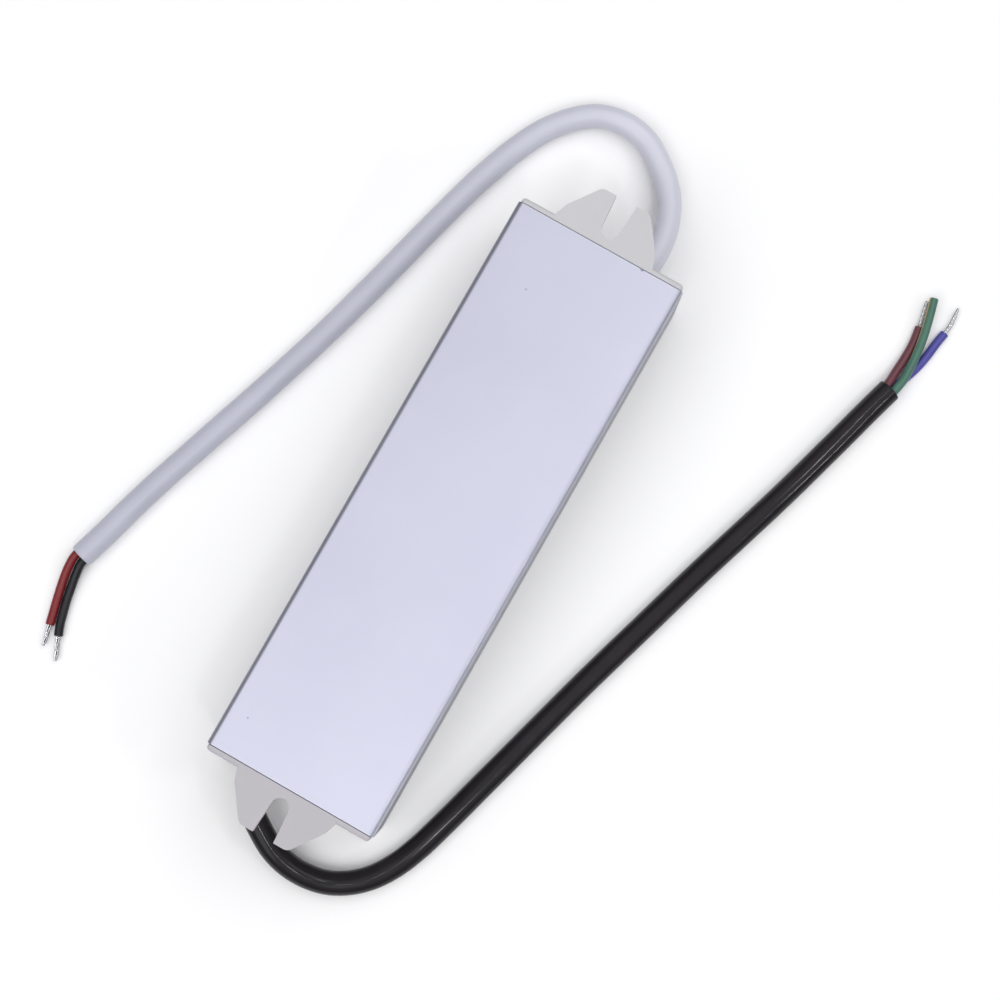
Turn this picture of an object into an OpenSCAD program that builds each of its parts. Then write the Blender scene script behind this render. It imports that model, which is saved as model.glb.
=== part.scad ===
// Waterproof power supply for low-voltage lighting.
// An extruded aluminium tube is closed by two moulded end caps with slotted ears.
// It lies with its mounting base up, as it does on a bench, and +X points to the output cable.

/* [Case] */
// Length of the aluminium tube
case_l = 138; // [128:1:200]
// Width of the tube
case_w = 42; // [40:0.5:60]
// Height of the tube
case_h = 30; // [28.5:0.5:45]
// Wall of the tube
case_wall = 1.3; // [1:0.1:1.8]
// Outer corner radius of the tube
case_corner_r = 1.3; // [0.8:0.1:2.5]
// Inner corner radius of the tube
cavity_corner_r = 0.5; // [0.3:0.1:1]
// How far the board rails stand in from the side walls
rail_reach = 1.5; // [1:0.1:2]
// Thickness of each board rail
rail_t = 1.2; // [0.8:0.1:1.5]

/* [End caps] */
// Thickness of the end plate
plate_t = 1.5; // [1:0.1:3]
// How far the plate's outline stays inside the tube's
plate_inset = 0.45; // [0.2:0.05:0.8]
// Corner radius of the end plate
plate_corner_r = 0.9; // [0.6:0.1:2]
// Rounding of the plate's outer edge
plate_edge_r = 0.5; // [0.3:0.1:0.8]
// How far the plug reaches into the tube
plug_depth = 8; // [5:0.5:9]
// Wall of the plug
plug_wall = 1.8; // [1.2:0.1:2.4]
// Clearance between the plug and the tube
plug_gap = 0.15; // [0.1:0.05:0.3]

/* [Mounting ears] */
// Reach of the ear past the end plate
ear_reach = 10.3; // [9:0.1:14]
// Width of the ear where it leaves the plate
ear_root_w = 24.8; // [23:0.2:30]
// Width of the ear at its shoulders
ear_shoulder_w = 23; // [20:0.2:24]
// Distance of the shoulders from the plate
ear_shoulder_x = 2.8; // [1.5:0.1:4]
// Width across the outer tip corners
ear_tip_w = 12.2; // [10:0.2:16]
// Thickness of the ear
ear_t = 2.4; // [1.6:0.1:4]
// Radius of the tip corners
ear_tip_r = 1.3; // [0.5:0.1:2]
// Radius of the shoulders
ear_shoulder_r = 2.5; // [1.5:0.25:3]
// Radius of the fillet between ear and plate
ear_root_r = 0.9; // [0.5:0.1:1.5]
// Radius of the slot's round end
slot_r = 2.1; // [1.6:0.1:2.5]
// Distance of the slot's round end from the plate, to its centre
slot_root_x = 2.95; // [2.7:0.05:4]
// Width of the slot at its open mouth
slot_mouth_w = 5.2; // [5:0.1:6]
// Radius of the slot's lips
slot_lip_r = 0.5; // [0.3:0.1:0.8]
// Diameter of the ejector mark on the ear
ejector_d = 2.6; // [2:0.1:3]
// Depth of the ejector mark
ejector_depth = 0.1; // [0.05:0.05:0.2]

/* [Cables] */
// Outer diameter of both cables
cable_d = 5.8; // [5:0.1:6.4]
// Diameter of an insulated core
core_d = 2.1; // [1.8:0.05:2.3]
// Diameter of the tinned strands
strand_d = 0.9; // [0.7:0.05:1.2]
// Sideways distance of each cable hole from the centre line
exit_y = 10.2; // [8:0.1:12]
// Height of the cable holes above the table
exit_z = 9; // [8:0.1:14]
// Clearance of a cable in its hole
cable_fit = 0.1; // [0.05:0.05:0.3]
// Wall of the sleeve inside each cap
sleeve_wall = 1.6; // [1:0.1:2]
// Length of cable past the plug, inside the tube
cable_inside = 4.5; // [4:0.1:6]
// Straight run of the longest lead before its bend
lead_run = 3.2; // [3:0.1:5]
// Bend radius of the leads
lead_bend_r = 2.5; // [2:0.1:3]
// Width of the cable ties
tie_w = 2.5; // [1.8:0.1:3]
// Thickness of the cable ties
tie_t = 1.1; // [0.8:0.1:1.4]
// Edge of the tie's square head
tie_head = 4; // [3:0.1:5]

/* [Circuit board] */
// Thickness of the board
board_t = 1.6; // [1:0.1:2]
// Clearance of the board in its rails
board_fit = 0.15; // [0.1:0.05:0.3]
// Space under the board for its solder joints
solder_gap = 4; // [3:0.1:5]
// Gap between each board end and the plug beside it
board_end_gap = 1; // [0.5:0.1:2]
// Stretch at each board end kept free for the leads
lead_zone = 13; // [12:0.5:14]
// Diameter of the component pins
pin_d = 0.7; // [0.5:0.05:0.9]
// Clearance of a pin in its hole
hole_fit = 0.1; // [0.05:0.05:0.2]
// How far the pins stand out under the board
pin_out = 1.2; // [0.8:0.1:2]
// Diameter of a solder joint on the board
joint_d = 1.8; // [1.5:0.1:2]
// Gap under the components that stand on the board
stand_off = 0.5; // [0.3:0.1:1]
// Width of the slot milled under the optocoupler
milled_slot_w = 1.2; // [1:0.1:1.6]
// Thickness of the insulation sheet
sheet_t = 0.3; // [0.2:0.05:0.5]
// Gap between the potting compound and what lies in it
potting_gap = 0.1; // [0.05:0.05:0.2]

/* [Input side parts] */
// Diameter of the fuse
fuse_d = 3.6; // [3:0.1:4.4]
// Length of the fuse
fuse_l = 10; // [8:0.5:11]
// Diameter of the varistor disc
varistor_d = 10; // [7:0.5:11]
// Thickness of the varistor disc
varistor_t = 4.4; // [3:0.1:5]
// Diameter of the thermistor disc
thermistor_d = 9; // [7:0.5:11]
// Thickness of the thermistor disc
thermistor_t = 3.8; // [3:0.1:5]
// Length of the line filter capacitor along the case
line_cap_x = 8; // [6:0.5:9]
// Width of the line filter capacitor across the case
line_cap_y = 15; // [12:0.5:16]
// Height of the line filter capacitor
line_cap_z = 13; // [10:0.5:15]
// Width of the line choke's core
choke_w = 15; // [14:0.5:16]
// Height of the line choke's core
choke_h = 15.5; // [13:0.5:16.5]
// Thickness of each limb of the line choke's core
choke_limb = 3.2; // [2.5:0.1:3.4]
// Diameter of the line choke's windings
choke_coil_d = 6.8; // [6:0.1:7.2]
// Length of the bridge rectifier
bridge_l = 14.5; // [12:0.5:16]
// Thickness of the bridge rectifier
bridge_t = 3.4; // [3:0.1:4]
// Height of the bridge rectifier
bridge_h = 10.5; // [9:0.5:12]
// Diameter of the large input capacitor
bulk_d = 15; // [12:0.5:16]
// Height of the large input capacitor
bulk_h = 17.5; // [14:0.5:18]

/* [Switching and output parts] */
// Width of a power transistor or rectifier
power_w = 10; // [9:0.1:10.5]
// Thickness of a power transistor or rectifier
power_t = 4.5; // [4:0.1:5]
// Height of its moulded body
power_h = 9; // [8:0.1:9.5]
// Length of its legs above the board
power_leg = 2.5; // [2:0.1:3]
// Length of each heat spreader
spreader_l = 18; // [14:0.5:20]
// Thickness of each heat spreader
spreader_t = 1.5; // [1:0.1:2]
// Thickness of the pad between spreader and case
pad_t = 0.3; // [0.2:0.05:0.5]
// Width of the transformer's core
core_w = 22; // [20:0.5:23]
// Height of the transformer's core
core_h = 15.5; // [14:0.5:16]
// Thickness of the transformer's core across the case
core_t = 6; // [5:0.1:7]
// Width of each outer limb of the core
core_limb = 3; // [2.5:0.1:3.5]
// Wall of the transformer's bobbin
bobbin_wall = 0.8; // [0.6:0.1:1]
// Height of the bobbin's pin rails
bobbin_foot = 2.2; // [2:0.1:3]
// Diameter of each output capacitor
out_cap_d = 10; // [8:0.5:10.5]
// Height of each output capacitor
out_cap_h = 16; // [12:0.5:17]
// Diameter of the output choke
out_choke_d = 9; // [7:0.5:9.5]
// Height of the output choke
out_choke_h = 10; // [8:0.5:12]
// Length of the control chip
chip_l = 9.4; // [9:0.1:10]
// Length of the optocoupler
opto_l = 4.6; // [4.4:0.1:5]
// Body width of the control chip and the optocoupler
chip_w = 6.4; // [6:0.1:6.6]
// Body height of the control chip and the optocoupler
chip_h = 3.3; // [3:0.1:4]
// Diameter of the small auxiliary capacitor
aux_cap_d = 5; // [4:0.1:5.5]
// Height of the small auxiliary capacitor
aux_cap_h = 11; // [8:0.5:12]
// Diameter of the safety capacitor's disc
safety_cap_d = 8; // [6:0.5:9]
// Thickness of the safety capacitor's disc
safety_cap_t = 3.6; // [3:0.1:4]
// Diameter of the resistors
resistor_d = 2.6; // [2:0.1:3]
// Length of the resistors
resistor_l = 6.5; // [5:0.5:7]

/* [Hidden] */
$fn = 48;

// Cuts run this far past the faces they open
cut = 1;
// Overlap that joins two shapes of one piece
weld = 0.4;
// Steps in each rounded corner of a drawn outline
corner_steps = 6;
// Gap between a bobbin and the core inside and around it
bobbin_gap = 0.1;

// The hollow of the tube
cavity_w = case_w - 2 * case_wall;
cavity_h = case_h - 2 * case_wall;
// The board's component face looks down, because the base lies up
board_z = case_h - case_wall - solder_gap - board_t;
board_w = cavity_w - 2 * board_fit;
board_l = case_l - 2 * (plug_depth + board_end_gap);
// The rails on both sides of the board's groove
rail_under_z = board_z - board_fit - rail_t;
rail_over_z = board_z + board_t + board_fit;

// The end cap, measured from the middle of the tube
tube_end = case_l / 2;
plate_face = tube_end + plate_t;
plug_end = tube_end - plug_depth;
ear_top = case_h - plate_inset;
bore_r = cable_d / 2 + cable_fit;
jacket_end = plug_end - cable_inside;
// Each tie stands this far behind its plug
tie_gap = 0.5;
tie_x = plug_end - tie_w - tie_gap;
// Place of the ejector mark on the ear
ejector_x = 3.4;
ejector_y = 5.8;

// The cores lie this far apart, this far above the cable's middle, and leave it straight
core_gap = 0.16;
core_offset = (core_d + core_gap) / 2;
core_lift = 1.3;
core_run = 1.5;
// The three cores at the input cable's cut end lie on a ring, with the green one this far round it
core_ring = (core_d + core_gap) / sqrt(3);
green_turn = 45;
brown_turn = green_turn + 120;
blue_turn = green_turn + 240;

// The free cables, with the height of each point above a cable lying on the table
output_points = [
    [76, -10.5, 5.8], [81, -10.4, 5.1], [86, -9.3, 4], [91, -7, 2.7], [95, -4, 1.6],
    [98.5, 0, 0.7], [101.2, 4, 0.2], [102.8, 8.7, 0], [102.7, 13.6, 0], [101, 18.2, 0],
    [98, 22.2, 0], [92.8, 26.6, 0], [84.4, 31, 0], [75.4, 34.3, 0], [61.7, 38.2, 0],
    [41, 43.5, 0], [23, 48.5, 0], [5, 54.2, 0], [-12.7, 60.2, 0], [-30.5, 66, 0],
    [-44, 69.8, 0], [-49.3, 71.4, 0]
];
input_points = [
    [-73, 10.1, 6], [-76.6, 8.9, 5.7], [-79.9, 6.4, 5], [-82.7, 2.7, 4.1], [-85.5, -2.2, 2.8],
    [-86.9, -7, 1.6], [-87, -11.5, 0.8], [-86, -16, 0.2], [-83.7, -20.4, 0], [-80.2, -24.3, 0],
    [-75, -27.8, 0], [-68.7, -30.5, 0], [-62, -32.6, 0], [-46.7, -36.9, 0], [-31, -41.2, 0],
    [-15.5, -45.6, 0], [0, -50.2, 0], [15.6, -54.9, 0], [31.2, -59.8, 0], [46.8, -64.7, 0],
    [60.4, -68.6, 0], [72, -71.8, 0], [78, -73.55, 0]
];
// The stripped cores, with the height of each point above a core lying on the table
red_points = [
    [-53.5, 72.8, 1.25], [-56.5, 72.4, 0.7], [-60, 71.7, 0.35], [-63.7, 70.8, 0.15], [-66.8, 70, 0.1]
];
black_points = [
    [-53.7, 70.4, 1.25], [-56.6, 70, 0.7], [-60, 69.4, 0.35], [-63.2, 68.6, 0.15],
    [-65.7, 67.9, 0.1], [-68.1, 66.9, 0.1]
];
brown_points = [[82.2, -72.8, 1.55], [86.3, -73.15, 0.85], [91, -73.2, 0.35], [94.7, -72.7, 0.2]];
green_points = [
    [81.4, -75.2, 2.45], [84.5, -75.25, 2.2], [87.7, -75.1, 2.05], [90.5, -74.8, 2],
    [94.5, -74.1, 2.05], [98, -73.3, 2], [102, -72.3, 1.85]
];
blue_points = [
    [81, -75.05, 0.15], [83.2, -75.85, 0.1], [86, -76.75, 0.1], [89.6, -77.5, 0.1],
    [93.5, -78, 0.1], [96.4, -78.55, 0.1]
];
red_tip = [-71.8, 68.9, 0.15];
black_tip = [-73.4, 64.6, 0.05];
brown_tip = [101.1, -71.3, 0.35];
blue_tip = [103.2, -78.5, 0.25];

// Where the parts stand along the board: six columns share the free length evenly
column_w = [
    max(fuse_d, varistor_t), max(line_cap_x, thermistor_t),
    choke_w - choke_limb + choke_coil_d, max(bulk_d, power_w), core_w, out_cap_d
];
columns_w = [for (sum = 0, i = 0; i < len(column_w); sum = sum + column_w[i], i = i + 1) sum];
column_gap = (board_l - 2 * lead_zone - columns_w[5] - column_w[5]) / (len(column_w) - 1);
function column_x(i) = lead_zone - board_l / 2 + columns_w[i] + i * column_gap + column_w[i] / 2;
// Gaps between the parts on the board, and between them and its long edges inside the rails
close_gap = 0.5;
part_gap = 1;
board_edge = board_w / 2 - rail_reach - close_gap;

// Pin spacings: the common one, the two rows of a chip, and those of single parts
pin_pitch = 2.54;
row_pitch = 7.62;
line_cap_pitch = 10;
bridge_pitch = 3.8;
bulk_pitch = 7.5;
out_cap_pitch = 5;
out_choke_pitch = 6;
aux_cap_pitch = 2;
// The wires of a lying part run on this far past its body, then bend down into the board
wire_run = 1.5;

// Pins and body centres of each part, seen from the component side with X along the case
fuse_at = [column_x(0), part_gap - board_edge + fuse_l / 2 + wire_run];
fuse_pins = [for (s = [-1, 1]) fuse_at + [0, s * (fuse_l / 2 + wire_run)]];
varistor_at = [column_x(0), board_edge - varistor_d / 2 - part_gap];
varistor_pins = [for (s = [-1, 1]) varistor_at + [0, s * pin_pitch]];
line_cap_at = [column_x(1), line_cap_y / 2 + close_gap - board_edge];
line_cap_pins = [for (s = [-1, 1]) line_cap_at + [0, s * line_cap_pitch / 2]];
thermistor_at = [column_x(1), board_edge - thermistor_d / 2 - part_gap];
thermistor_pins = [for (s = [-1, 1]) thermistor_at + [0, s * pin_pitch]];
choke_at = [column_x(2), choke_coil_d / 2 + part_gap - board_edge];
// The choke's pins stand this far beside its limbs
choke_leg_gap = 1.1;
choke_leg = choke_limb / 2 + choke_leg_gap;
choke_pins = [
    for (s = [-1, 1], t = [-1, 1]) choke_at + [s * (choke_w - choke_limb) / 2, t * choke_leg]
];
bridge_at = [column_x(2), choke_at.y + choke_coil_d / 2 + 2 * part_gap + bridge_t / 2];
bridge_pins = [for (i = [-1.5, -0.5, 0.5, 1.5]) bridge_at + [i * bridge_pitch, 0]];
resistor_pitch = resistor_l + 2 * wire_run;
resistor_y = bridge_at.y + bridge_t / 2 + part_gap + resistor_d / 2;
resistors_at = [for (i = [0, 1]) [column_x(2), resistor_y + i * (resistor_d + part_gap)]];
resistor_pins = [for (c = resistors_at, s = [-1, 1]) c + [s * resistor_pitch / 2, 0]];
diode_at = [column_x(2), resistors_at[1].y + resistor_d + part_gap];
diode_pins = [for (s = [-1, 1]) diode_at + [s * resistor_pitch / 2, 0]];
bulk_at = [column_x(3), bulk_d / 2 + close_gap - board_edge];
bulk_pins = [for (s = [-1, 1]) bulk_at + [0, s * bulk_pitch / 2]];
transformer_at = [column_x(4), 0];
// The bobbin's flange fills the core's window, and its two pin rails leave room for the winding
winding_room = 5.2;
pin_rail_t = 2.4;
pin_in = 0.9;
flange_x = core_w / 2 - core_limb - bobbin_gap;
bobbin_row = core_t / 2 + bobbin_wall + winding_room;
flange_y = bobbin_row + pin_rail_t / 2;
bobbin_pitch = 2 * (flange_x - pin_in) / 3;
transformer_pins = [
    for (s = [-1, 1], i = [-1.5, -0.5, 0.5, 1.5]) transformer_at + [i * bobbin_pitch, s * bobbin_row]
];
out_cap_y = board_edge - out_cap_d / 2 - close_gap;
out_caps_at = [for (i = [0, 1]) [column_x(5), out_cap_y - i * (out_cap_d + part_gap)]];
out_cap_pins = [for (c = out_caps_at, s = [-1, 1]) c + [0, s * out_cap_pitch / 2]];
out_choke_y = -5.5;
out_choke_at = [board_l / 2 - lead_zone + out_choke_d / 2 + close_gap, out_choke_y];
out_choke_pins = [for (s = [-1, 1]) out_choke_at + [0, s * out_choke_pitch / 2]];
// A power part stands against its heat spreader, which lies on the case's side wall
pad_y = cavity_w / 2 - pad_t;
spreader_y = pad_y - spreader_t;
power_y = spreader_y - power_t;
power_tab_t = 1.3;
power_tab_h = 6;
power_hole_r = 1.6;
screw_r = 1.45;
screw_head_r = 2.7;
screw_head_h = 2;
spreader_z = board_fit + rail_t + close_gap;
power_top = power_leg + power_h + power_tab_h;
screw_z = power_leg + power_h + power_tab_h / 2;
power_pin_in = 1.2;
power_pin_y = spreader_y - power_tab_t - power_pin_in;
transistor_x = column_x(3);
rectifier_x = column_x(5);
transistor_pins = [for (i = [-1, 0, 1]) [transistor_x + i * pin_pitch, power_pin_y]];
rectifier_pins = [for (i = [-1, 0, 1]) [rectifier_x + i * pin_pitch, -power_pin_y]];
// The control chip and its capacitor stand side by side between the large capacitor and the transistor
chip_shift = 2.9;
chip_at = [column_x(3) + chip_shift, bulk_at.y + bulk_d / 2 + part_gap + chip_l / 2];
chip_pins = [
    for (s = [-1, 1], i = [-1.5, -0.5, 0.5, 1.5]) chip_at + [s * row_pitch / 2, i * pin_pitch]
];
aux_cap_at = [chip_at.x - row_pitch / 2 - part_gap - aux_cap_d / 2, chip_at.y];
aux_cap_pins = [for (s = [-1, 1]) aux_cap_at + [0, s * aux_cap_pitch / 2]];
opto_at = [column_x(4), -(flange_y + part_gap + opto_l / 2)];
opto_pins = [for (s = [-1, 1], i = [-0.5, 0.5]) opto_at + [s * row_pitch / 2, i * pin_pitch]];
safety_cap_at = [column_x(4), flange_y + part_gap + safety_cap_t / 2];
safety_cap_pins = [for (s = [-1, 1]) safety_cap_at + [s * pin_pitch, 0]];
all_pins = concat(
    fuse_pins, varistor_pins, line_cap_pins, thermistor_pins, choke_pins, bridge_pins,
    resistor_pins, diode_pins, bulk_pins, transformer_pins, out_cap_pins, out_choke_pins,
    transistor_pins, rectifier_pins, chip_pins, aux_cap_pins, opto_pins, safety_cap_pins
);

// Each lead: its end of the case, its place in the cable and how far it runs before its bend
lead_step = core_d + close_gap;
// The leads are bare from this far under the board
bare_run = 1.5;
output_leads = [[1, -core_offset, 0, lead_run], [1, core_offset, 0, lead_run]];
input_leads = [
    [-1, -core_offset, -core_lift / 2, lead_run], [-1, core_offset, -core_lift / 2, lead_run],
    [-1, 0, core_lift, lead_run - lead_step]
];
function lead_x(l) = l[0] * (jacket_end - l[3] - lead_bend_r);
function lead_y(l) = -l[0] * exit_y + l[1];
lead_pads = [for (l = concat(output_leads, input_leads)) [lead_x(l), -lead_y(l)]];

// Direction of a vector, and the points of an arc that rounds the corner b by its radius b.z
function unit(v) = v / norm(v);
function flat(p) = [p.x, p.y];
function corner_arc(a, b, c) =
    b.z == 0 ? [flat(b)] :
    let (
        u = unit(flat(a) - flat(b)),
        w = unit(flat(c) - flat(b)),
        half = acos(u * w) / 2,
        centre = flat(b) + unit(u + w) * b.z / sin(half),
        from = flat(b) + u * b.z / tan(half) - centre,
        to = flat(b) + w * b.z / tan(half) - centre
    )
    [for (i = [0 : corner_steps]) centre + b.z * unit(from * (corner_steps - i) + to * i)];
function rounded(p) = [
    for (i = [0 : len(p) - 1])
        each corner_arc(p[(i + len(p) - 1) % len(p)], p[i], p[(i + 1) % len(p)])
];
// An outline from its upper half, mirrored about the X axis
function both_halves(p) = concat(p, [for (i = [len(p) - 1 : -1 : 0]) [p[i].x, -p[i].y, p[i].z]]);

// The ring of n points that a tube of diameter d has at point i of its route
function ring(route, i, d, n) =
    let (
        dir = unit(route[min(i + 1, len(route) - 1)] - route[max(i - 1, 0)]),
        side = unit(cross([0, 0, 1], dir)),
        up = cross(dir, side)
    )
    [for (k = [0 : n - 1]) route[i] + d / 2 * (cos(360 * k / n) * side + sin(360 * k / n) * up)];
module tube(route, d, n) {
    last = (len(route) - 1) * n;
    polyhedron(
        points = [for (i = [0 : len(route) - 1]) each ring(route, i, d, n)],
        faces = concat(
            [[for (k = [0 : n - 1]) k]],
            [for (i = [0 : n : last - n], k = [0 : n - 1]) [i + k, i + n + k, i + n + (k + 1) % n]],
            [for (i = [0 : n : last - n], k = [0 : n - 1]) [i + k, i + n + (k + 1) % n, i + (k + 1) % n]],
            [[for (k = [n - 1 : -1 : 0]) last + k]]
        )
    );
}

// The route of a cable from its stripped end inside the case to its free end
function cable_route(side, points) = concat(
    [for (x = [jacket_end, plug_end, plate_face]) [side * x, -side * exit_y, exit_z]],
    [for (p = points) p + [0, 0, cable_d / 2]]
);
output_route = cable_route(1, output_points);
input_route = cable_route(-1, input_points);
// The route of a core, which leaves the cable's cut end beside or above its middle
function core_route(cable, beside, above, points) =
    let (
        end = cable[len(cable) - 1],
        dir = unit(end - cable[len(cable) - 2]),
        start = end + beside * cross([0, 0, 1], dir) + [0, 0, above]
    )
    concat([start, start + core_run * dir], [for (p = points) p + [0, 0, core_d / 2]]);
red_route = core_route(output_route, -core_offset, 0, red_points);
black_route = core_route(output_route, core_offset, 0, black_points);
function ring_route(turn, points) =
    core_route(input_route, -core_ring * cos(turn), core_ring * sin(turn), points);
brown_route = ring_route(brown_turn, brown_points);
green_route = ring_route(green_turn, green_points);
blue_route = ring_route(blue_turn, blue_points);
// The route of the bare strands that go on from a core's end
function strand_route(core, tip) =
    let (
        end = core[len(core) - 1],
        dir = unit(end - core[len(core) - 2])
    )
    [end, end + dir, tip + [0, 0, core_d / 2]];

// A profile drawn across the case, with its middle at half height, run along X
module along_case(l) {
    translate([-l / 2, 0, case_h / 2]) rotate([90, 0, 90]) linear_extrude(l) children();
}
module rounded_rect(w, h, r) {
    square([w - 2 * r, h], center = true);
    square([w, h - 2 * r], center = true);
    for (x = [-1, 1], y = [-1, 1]) translate([x * (w / 2 - r), y * (h / 2 - r)]) circle(r);
}
// A box on the plane z = 0 with every edge rounded
module soft_box(size, r) {
    translate([0, 0, size.z / 2]) intersection() {
        translate([0, 0, -size.z / 2]) linear_extrude(size.z) rounded_rect(size.x, size.y, r);
        rotate([90, 0, 0]) translate([0, 0, -size.y / 2]) linear_extrude(size.y)
            rounded_rect(size.x, size.z, r);
        rotate([90, 0, 90]) translate([0, 0, -size.x / 2]) linear_extrude(size.x)
            rounded_rect(size.y, size.z, r);
    }
}
// The component side of the board, which looks down: z grows away from the board
module on_board() {
    translate([0, 0, board_z]) rotate([180, 0, 0]) children();
}
module pins(points, top) {
    for (p = points)
        translate([p.x, p.y, -board_t - pin_out]) cylinder(d = pin_d, h = board_t + pin_out + top);
}

module housing() {
    color([0.83, 0.83, 0.87])
    along_case(case_l) {
        difference() {
            rounded_rect(case_w, case_h, case_corner_r);
            rounded_rect(cavity_w, cavity_h, cavity_corner_r);
        }
        for (side = [-1, 1], z = [rail_under_z, rail_over_z])
            translate([side * (cavity_w / 2 + (weld - rail_reach) / 2), z + rail_t / 2 - case_h / 2])
                square([rail_reach + weld, rail_t], center = true);
    }
}

// The outer end of a plate, seen from its edge: a bar with two round outer corners
module plate_profile(w) {
    translate([tube_end, -w / 2]) square([plate_t - plate_edge_r, w]);
    translate([tube_end, plate_edge_r - w / 2]) square([plate_t, w - 2 * plate_edge_r]);
    for (s = [-1, 1])
        translate([plate_face - plate_edge_r, s * (w / 2 - plate_edge_r)]) circle(plate_edge_r);
}
module end_plate() {
    plate_w = case_w - 2 * plate_inset;
    plate_h = case_h - 2 * plate_inset;
    intersection() {
        translate([tube_end, 0, case_h / 2]) rotate([90, 0, 90]) linear_extrude(plate_t)
            rounded_rect(plate_w, plate_h, plate_corner_r);
        translate([0, 0, plate_inset]) linear_extrude(plate_h) plate_profile(plate_w);
        translate([0, plate_w / 2, case_h / 2]) rotate([90, 0, 0]) linear_extrude(plate_w)
            plate_profile(plate_h);
    }
}
// The hollow plug inside the tube, with a notch on each side for the board rails
module end_plug() {
    plug_w = cavity_w - 2 * plug_gap;
    plug_h = cavity_h - 2 * plug_gap;
    notch_z = rail_under_z - plug_gap;
    notch_h = rail_over_z + rail_t - rail_under_z + 2 * plug_gap;
    translate([plug_end, 0, case_h / 2]) rotate([90, 0, 90]) linear_extrude(plug_depth + weld)
        difference() {
            rounded_rect(plug_w, plug_h, cavity_corner_r);
            square([plug_w - 2 * plug_wall, plug_h - 2 * plug_wall], center = true);
            translate([-case_w / 2, notch_z - case_h / 2]) square([case_w, notch_h]);
        }
}
module ear_outline() {
    root = ear_root_w / 2;
    tip_x = plate_face + ear_reach;
    slot_x = plate_face + slot_root_x;
    difference() {
        polygon(rounded(both_halves([
            [tube_end + plate_t / 2, root + 2 * ear_root_r, 0],
            [plate_face, root + 2 * ear_root_r, 0],
            [plate_face, root, ear_root_r],
            [plate_face + ear_shoulder_x, ear_shoulder_w / 2, ear_shoulder_r],
            [tip_x, ear_tip_w / 2, ear_tip_r],
            [tip_x, slot_mouth_w / 2, slot_lip_r],
            [slot_x, slot_r, 0]
        ])));
        translate([slot_x, 0]) circle(slot_r);
    }
}
module end_cap() {
    difference() {
        union() {
            end_plate();
            end_plug();
            translate([0, 0, ear_top - ear_t]) linear_extrude(ear_t) ear_outline();
            translate([plug_end, -exit_y, exit_z]) rotate([0, 90, 0])
                cylinder(r = bore_r + sleeve_wall, h = plug_depth + weld);
        }
        translate([plug_end - cut, -exit_y, exit_z]) rotate([0, 90, 0])
            cylinder(r = bore_r, h = plug_depth + plate_t + 2 * cut);
        translate([plate_face + ejector_x, ejector_y, ear_top - ejector_depth])
            cylinder(d = ejector_d, h = cut);
    }
}
module output_end_cap() {
    color([0.86, 0.86, 0.85]) end_cap();
}
module input_end_cap() {
    color([0.86, 0.86, 0.85]) rotate([0, 0, 180]) end_cap();
}

module output_cable() {
    color([0.85, 0.85, 0.9]) tube(output_route, cable_d, 12);
}
module red_core() {
    color([0.7, 0.15, 0.15]) tube(red_route, core_d, 8);
}
module black_core() {
    color([0.12, 0.12, 0.12]) tube(black_route, core_d, 8);
}
module red_strands() {
    color("silver") tube(strand_route(red_route, red_tip), strand_d, 8);
}
module black_strands() {
    color("silver") tube(strand_route(black_route, black_tip), strand_d, 8);
}
module input_cable() {
    color([0.12, 0.11, 0.12]) tube(input_route, cable_d, 12);
}
module brown_core() {
    color([0.4, 0.2, 0.2]) tube(brown_route, core_d, 8);
}
module green_core() {
    color([0.2, 0.45, 0.35]) tube(green_route, core_d, 8);
}
module blue_core() {
    color([0.25, 0.25, 0.65]) tube(blue_route, core_d, 8);
}
module brown_strands() {
    color("silver") tube(strand_route(brown_route, brown_tip), strand_d, 8);
}
module blue_strands() {
    color("silver") tube(strand_route(blue_route, blue_tip), strand_d, 8);
}

// A tie pulled tight round the cable behind the plug, so that the cable can't be drawn out
module cable_tie() {
    translate([tie_x, -exit_y, exit_z]) rotate([0, 90, 0]) difference() {
        union() {
            cylinder(r = cable_d / 2 + tie_t, h = tie_w);
            translate([-tie_head / 2, cable_d / 2 + tie_t / 2, 0]) cube([tie_head, tie_head, tie_w]);
        }
        translate([0, 0, -cut]) cylinder(r = cable_d / 2 + cable_fit / 2, h = tie_w + 2 * cut);
    }
}
module output_cable_tie() {
    color("white") cable_tie();
}
module input_cable_tie() {
    color("white") rotate([0, 0, 180]) cable_tie();
}

// A core inside the case: out of the jacket, round one bend and bare through the board
module lead(l, extra) {
    r = core_d / 2 + extra;
    bare_from = board_z - bare_run;
    bend_z = exit_z + l[2] + lead_bend_r;
    translate([l[0] * jacket_end, lead_y(l), exit_z + l[2]])
        rotate([0, -l[0] * 90, 0]) cylinder(r = r, h = l[3]);
    translate([lead_x(l), lead_y(l), 0]) {
        translate([l[0] * lead_bend_r, 0, bend_z]) rotate([90, 0, 0]) rotate([0, 0, l[0] > 0 ? 180 : 270])
            rotate_extrude(angle = 90) translate([lead_bend_r, 0]) circle(r);
        translate([0, 0, bend_z]) cylinder(r = r, h = bare_from - bend_z + extra);
        translate([0, 0, bare_from - weld])
            cylinder(d = strand_d + 2 * extra, h = board_z + board_t + pin_out - bare_from + weld);
    }
}
module positive_lead() {
    color([0.7, 0.15, 0.15]) lead(output_leads[0], 0);
}
module negative_lead() {
    color([0.12, 0.12, 0.12]) lead(output_leads[1], 0);
}
module live_lead() {
    color([0.4, 0.2, 0.2]) lead(input_leads[0], 0);
}
module neutral_lead() {
    color([0.25, 0.25, 0.65]) lead(input_leads[1], 0);
}
module earth_lead() {
    color([0.2, 0.45, 0.35]) lead(input_leads[2], 0);
}

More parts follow.
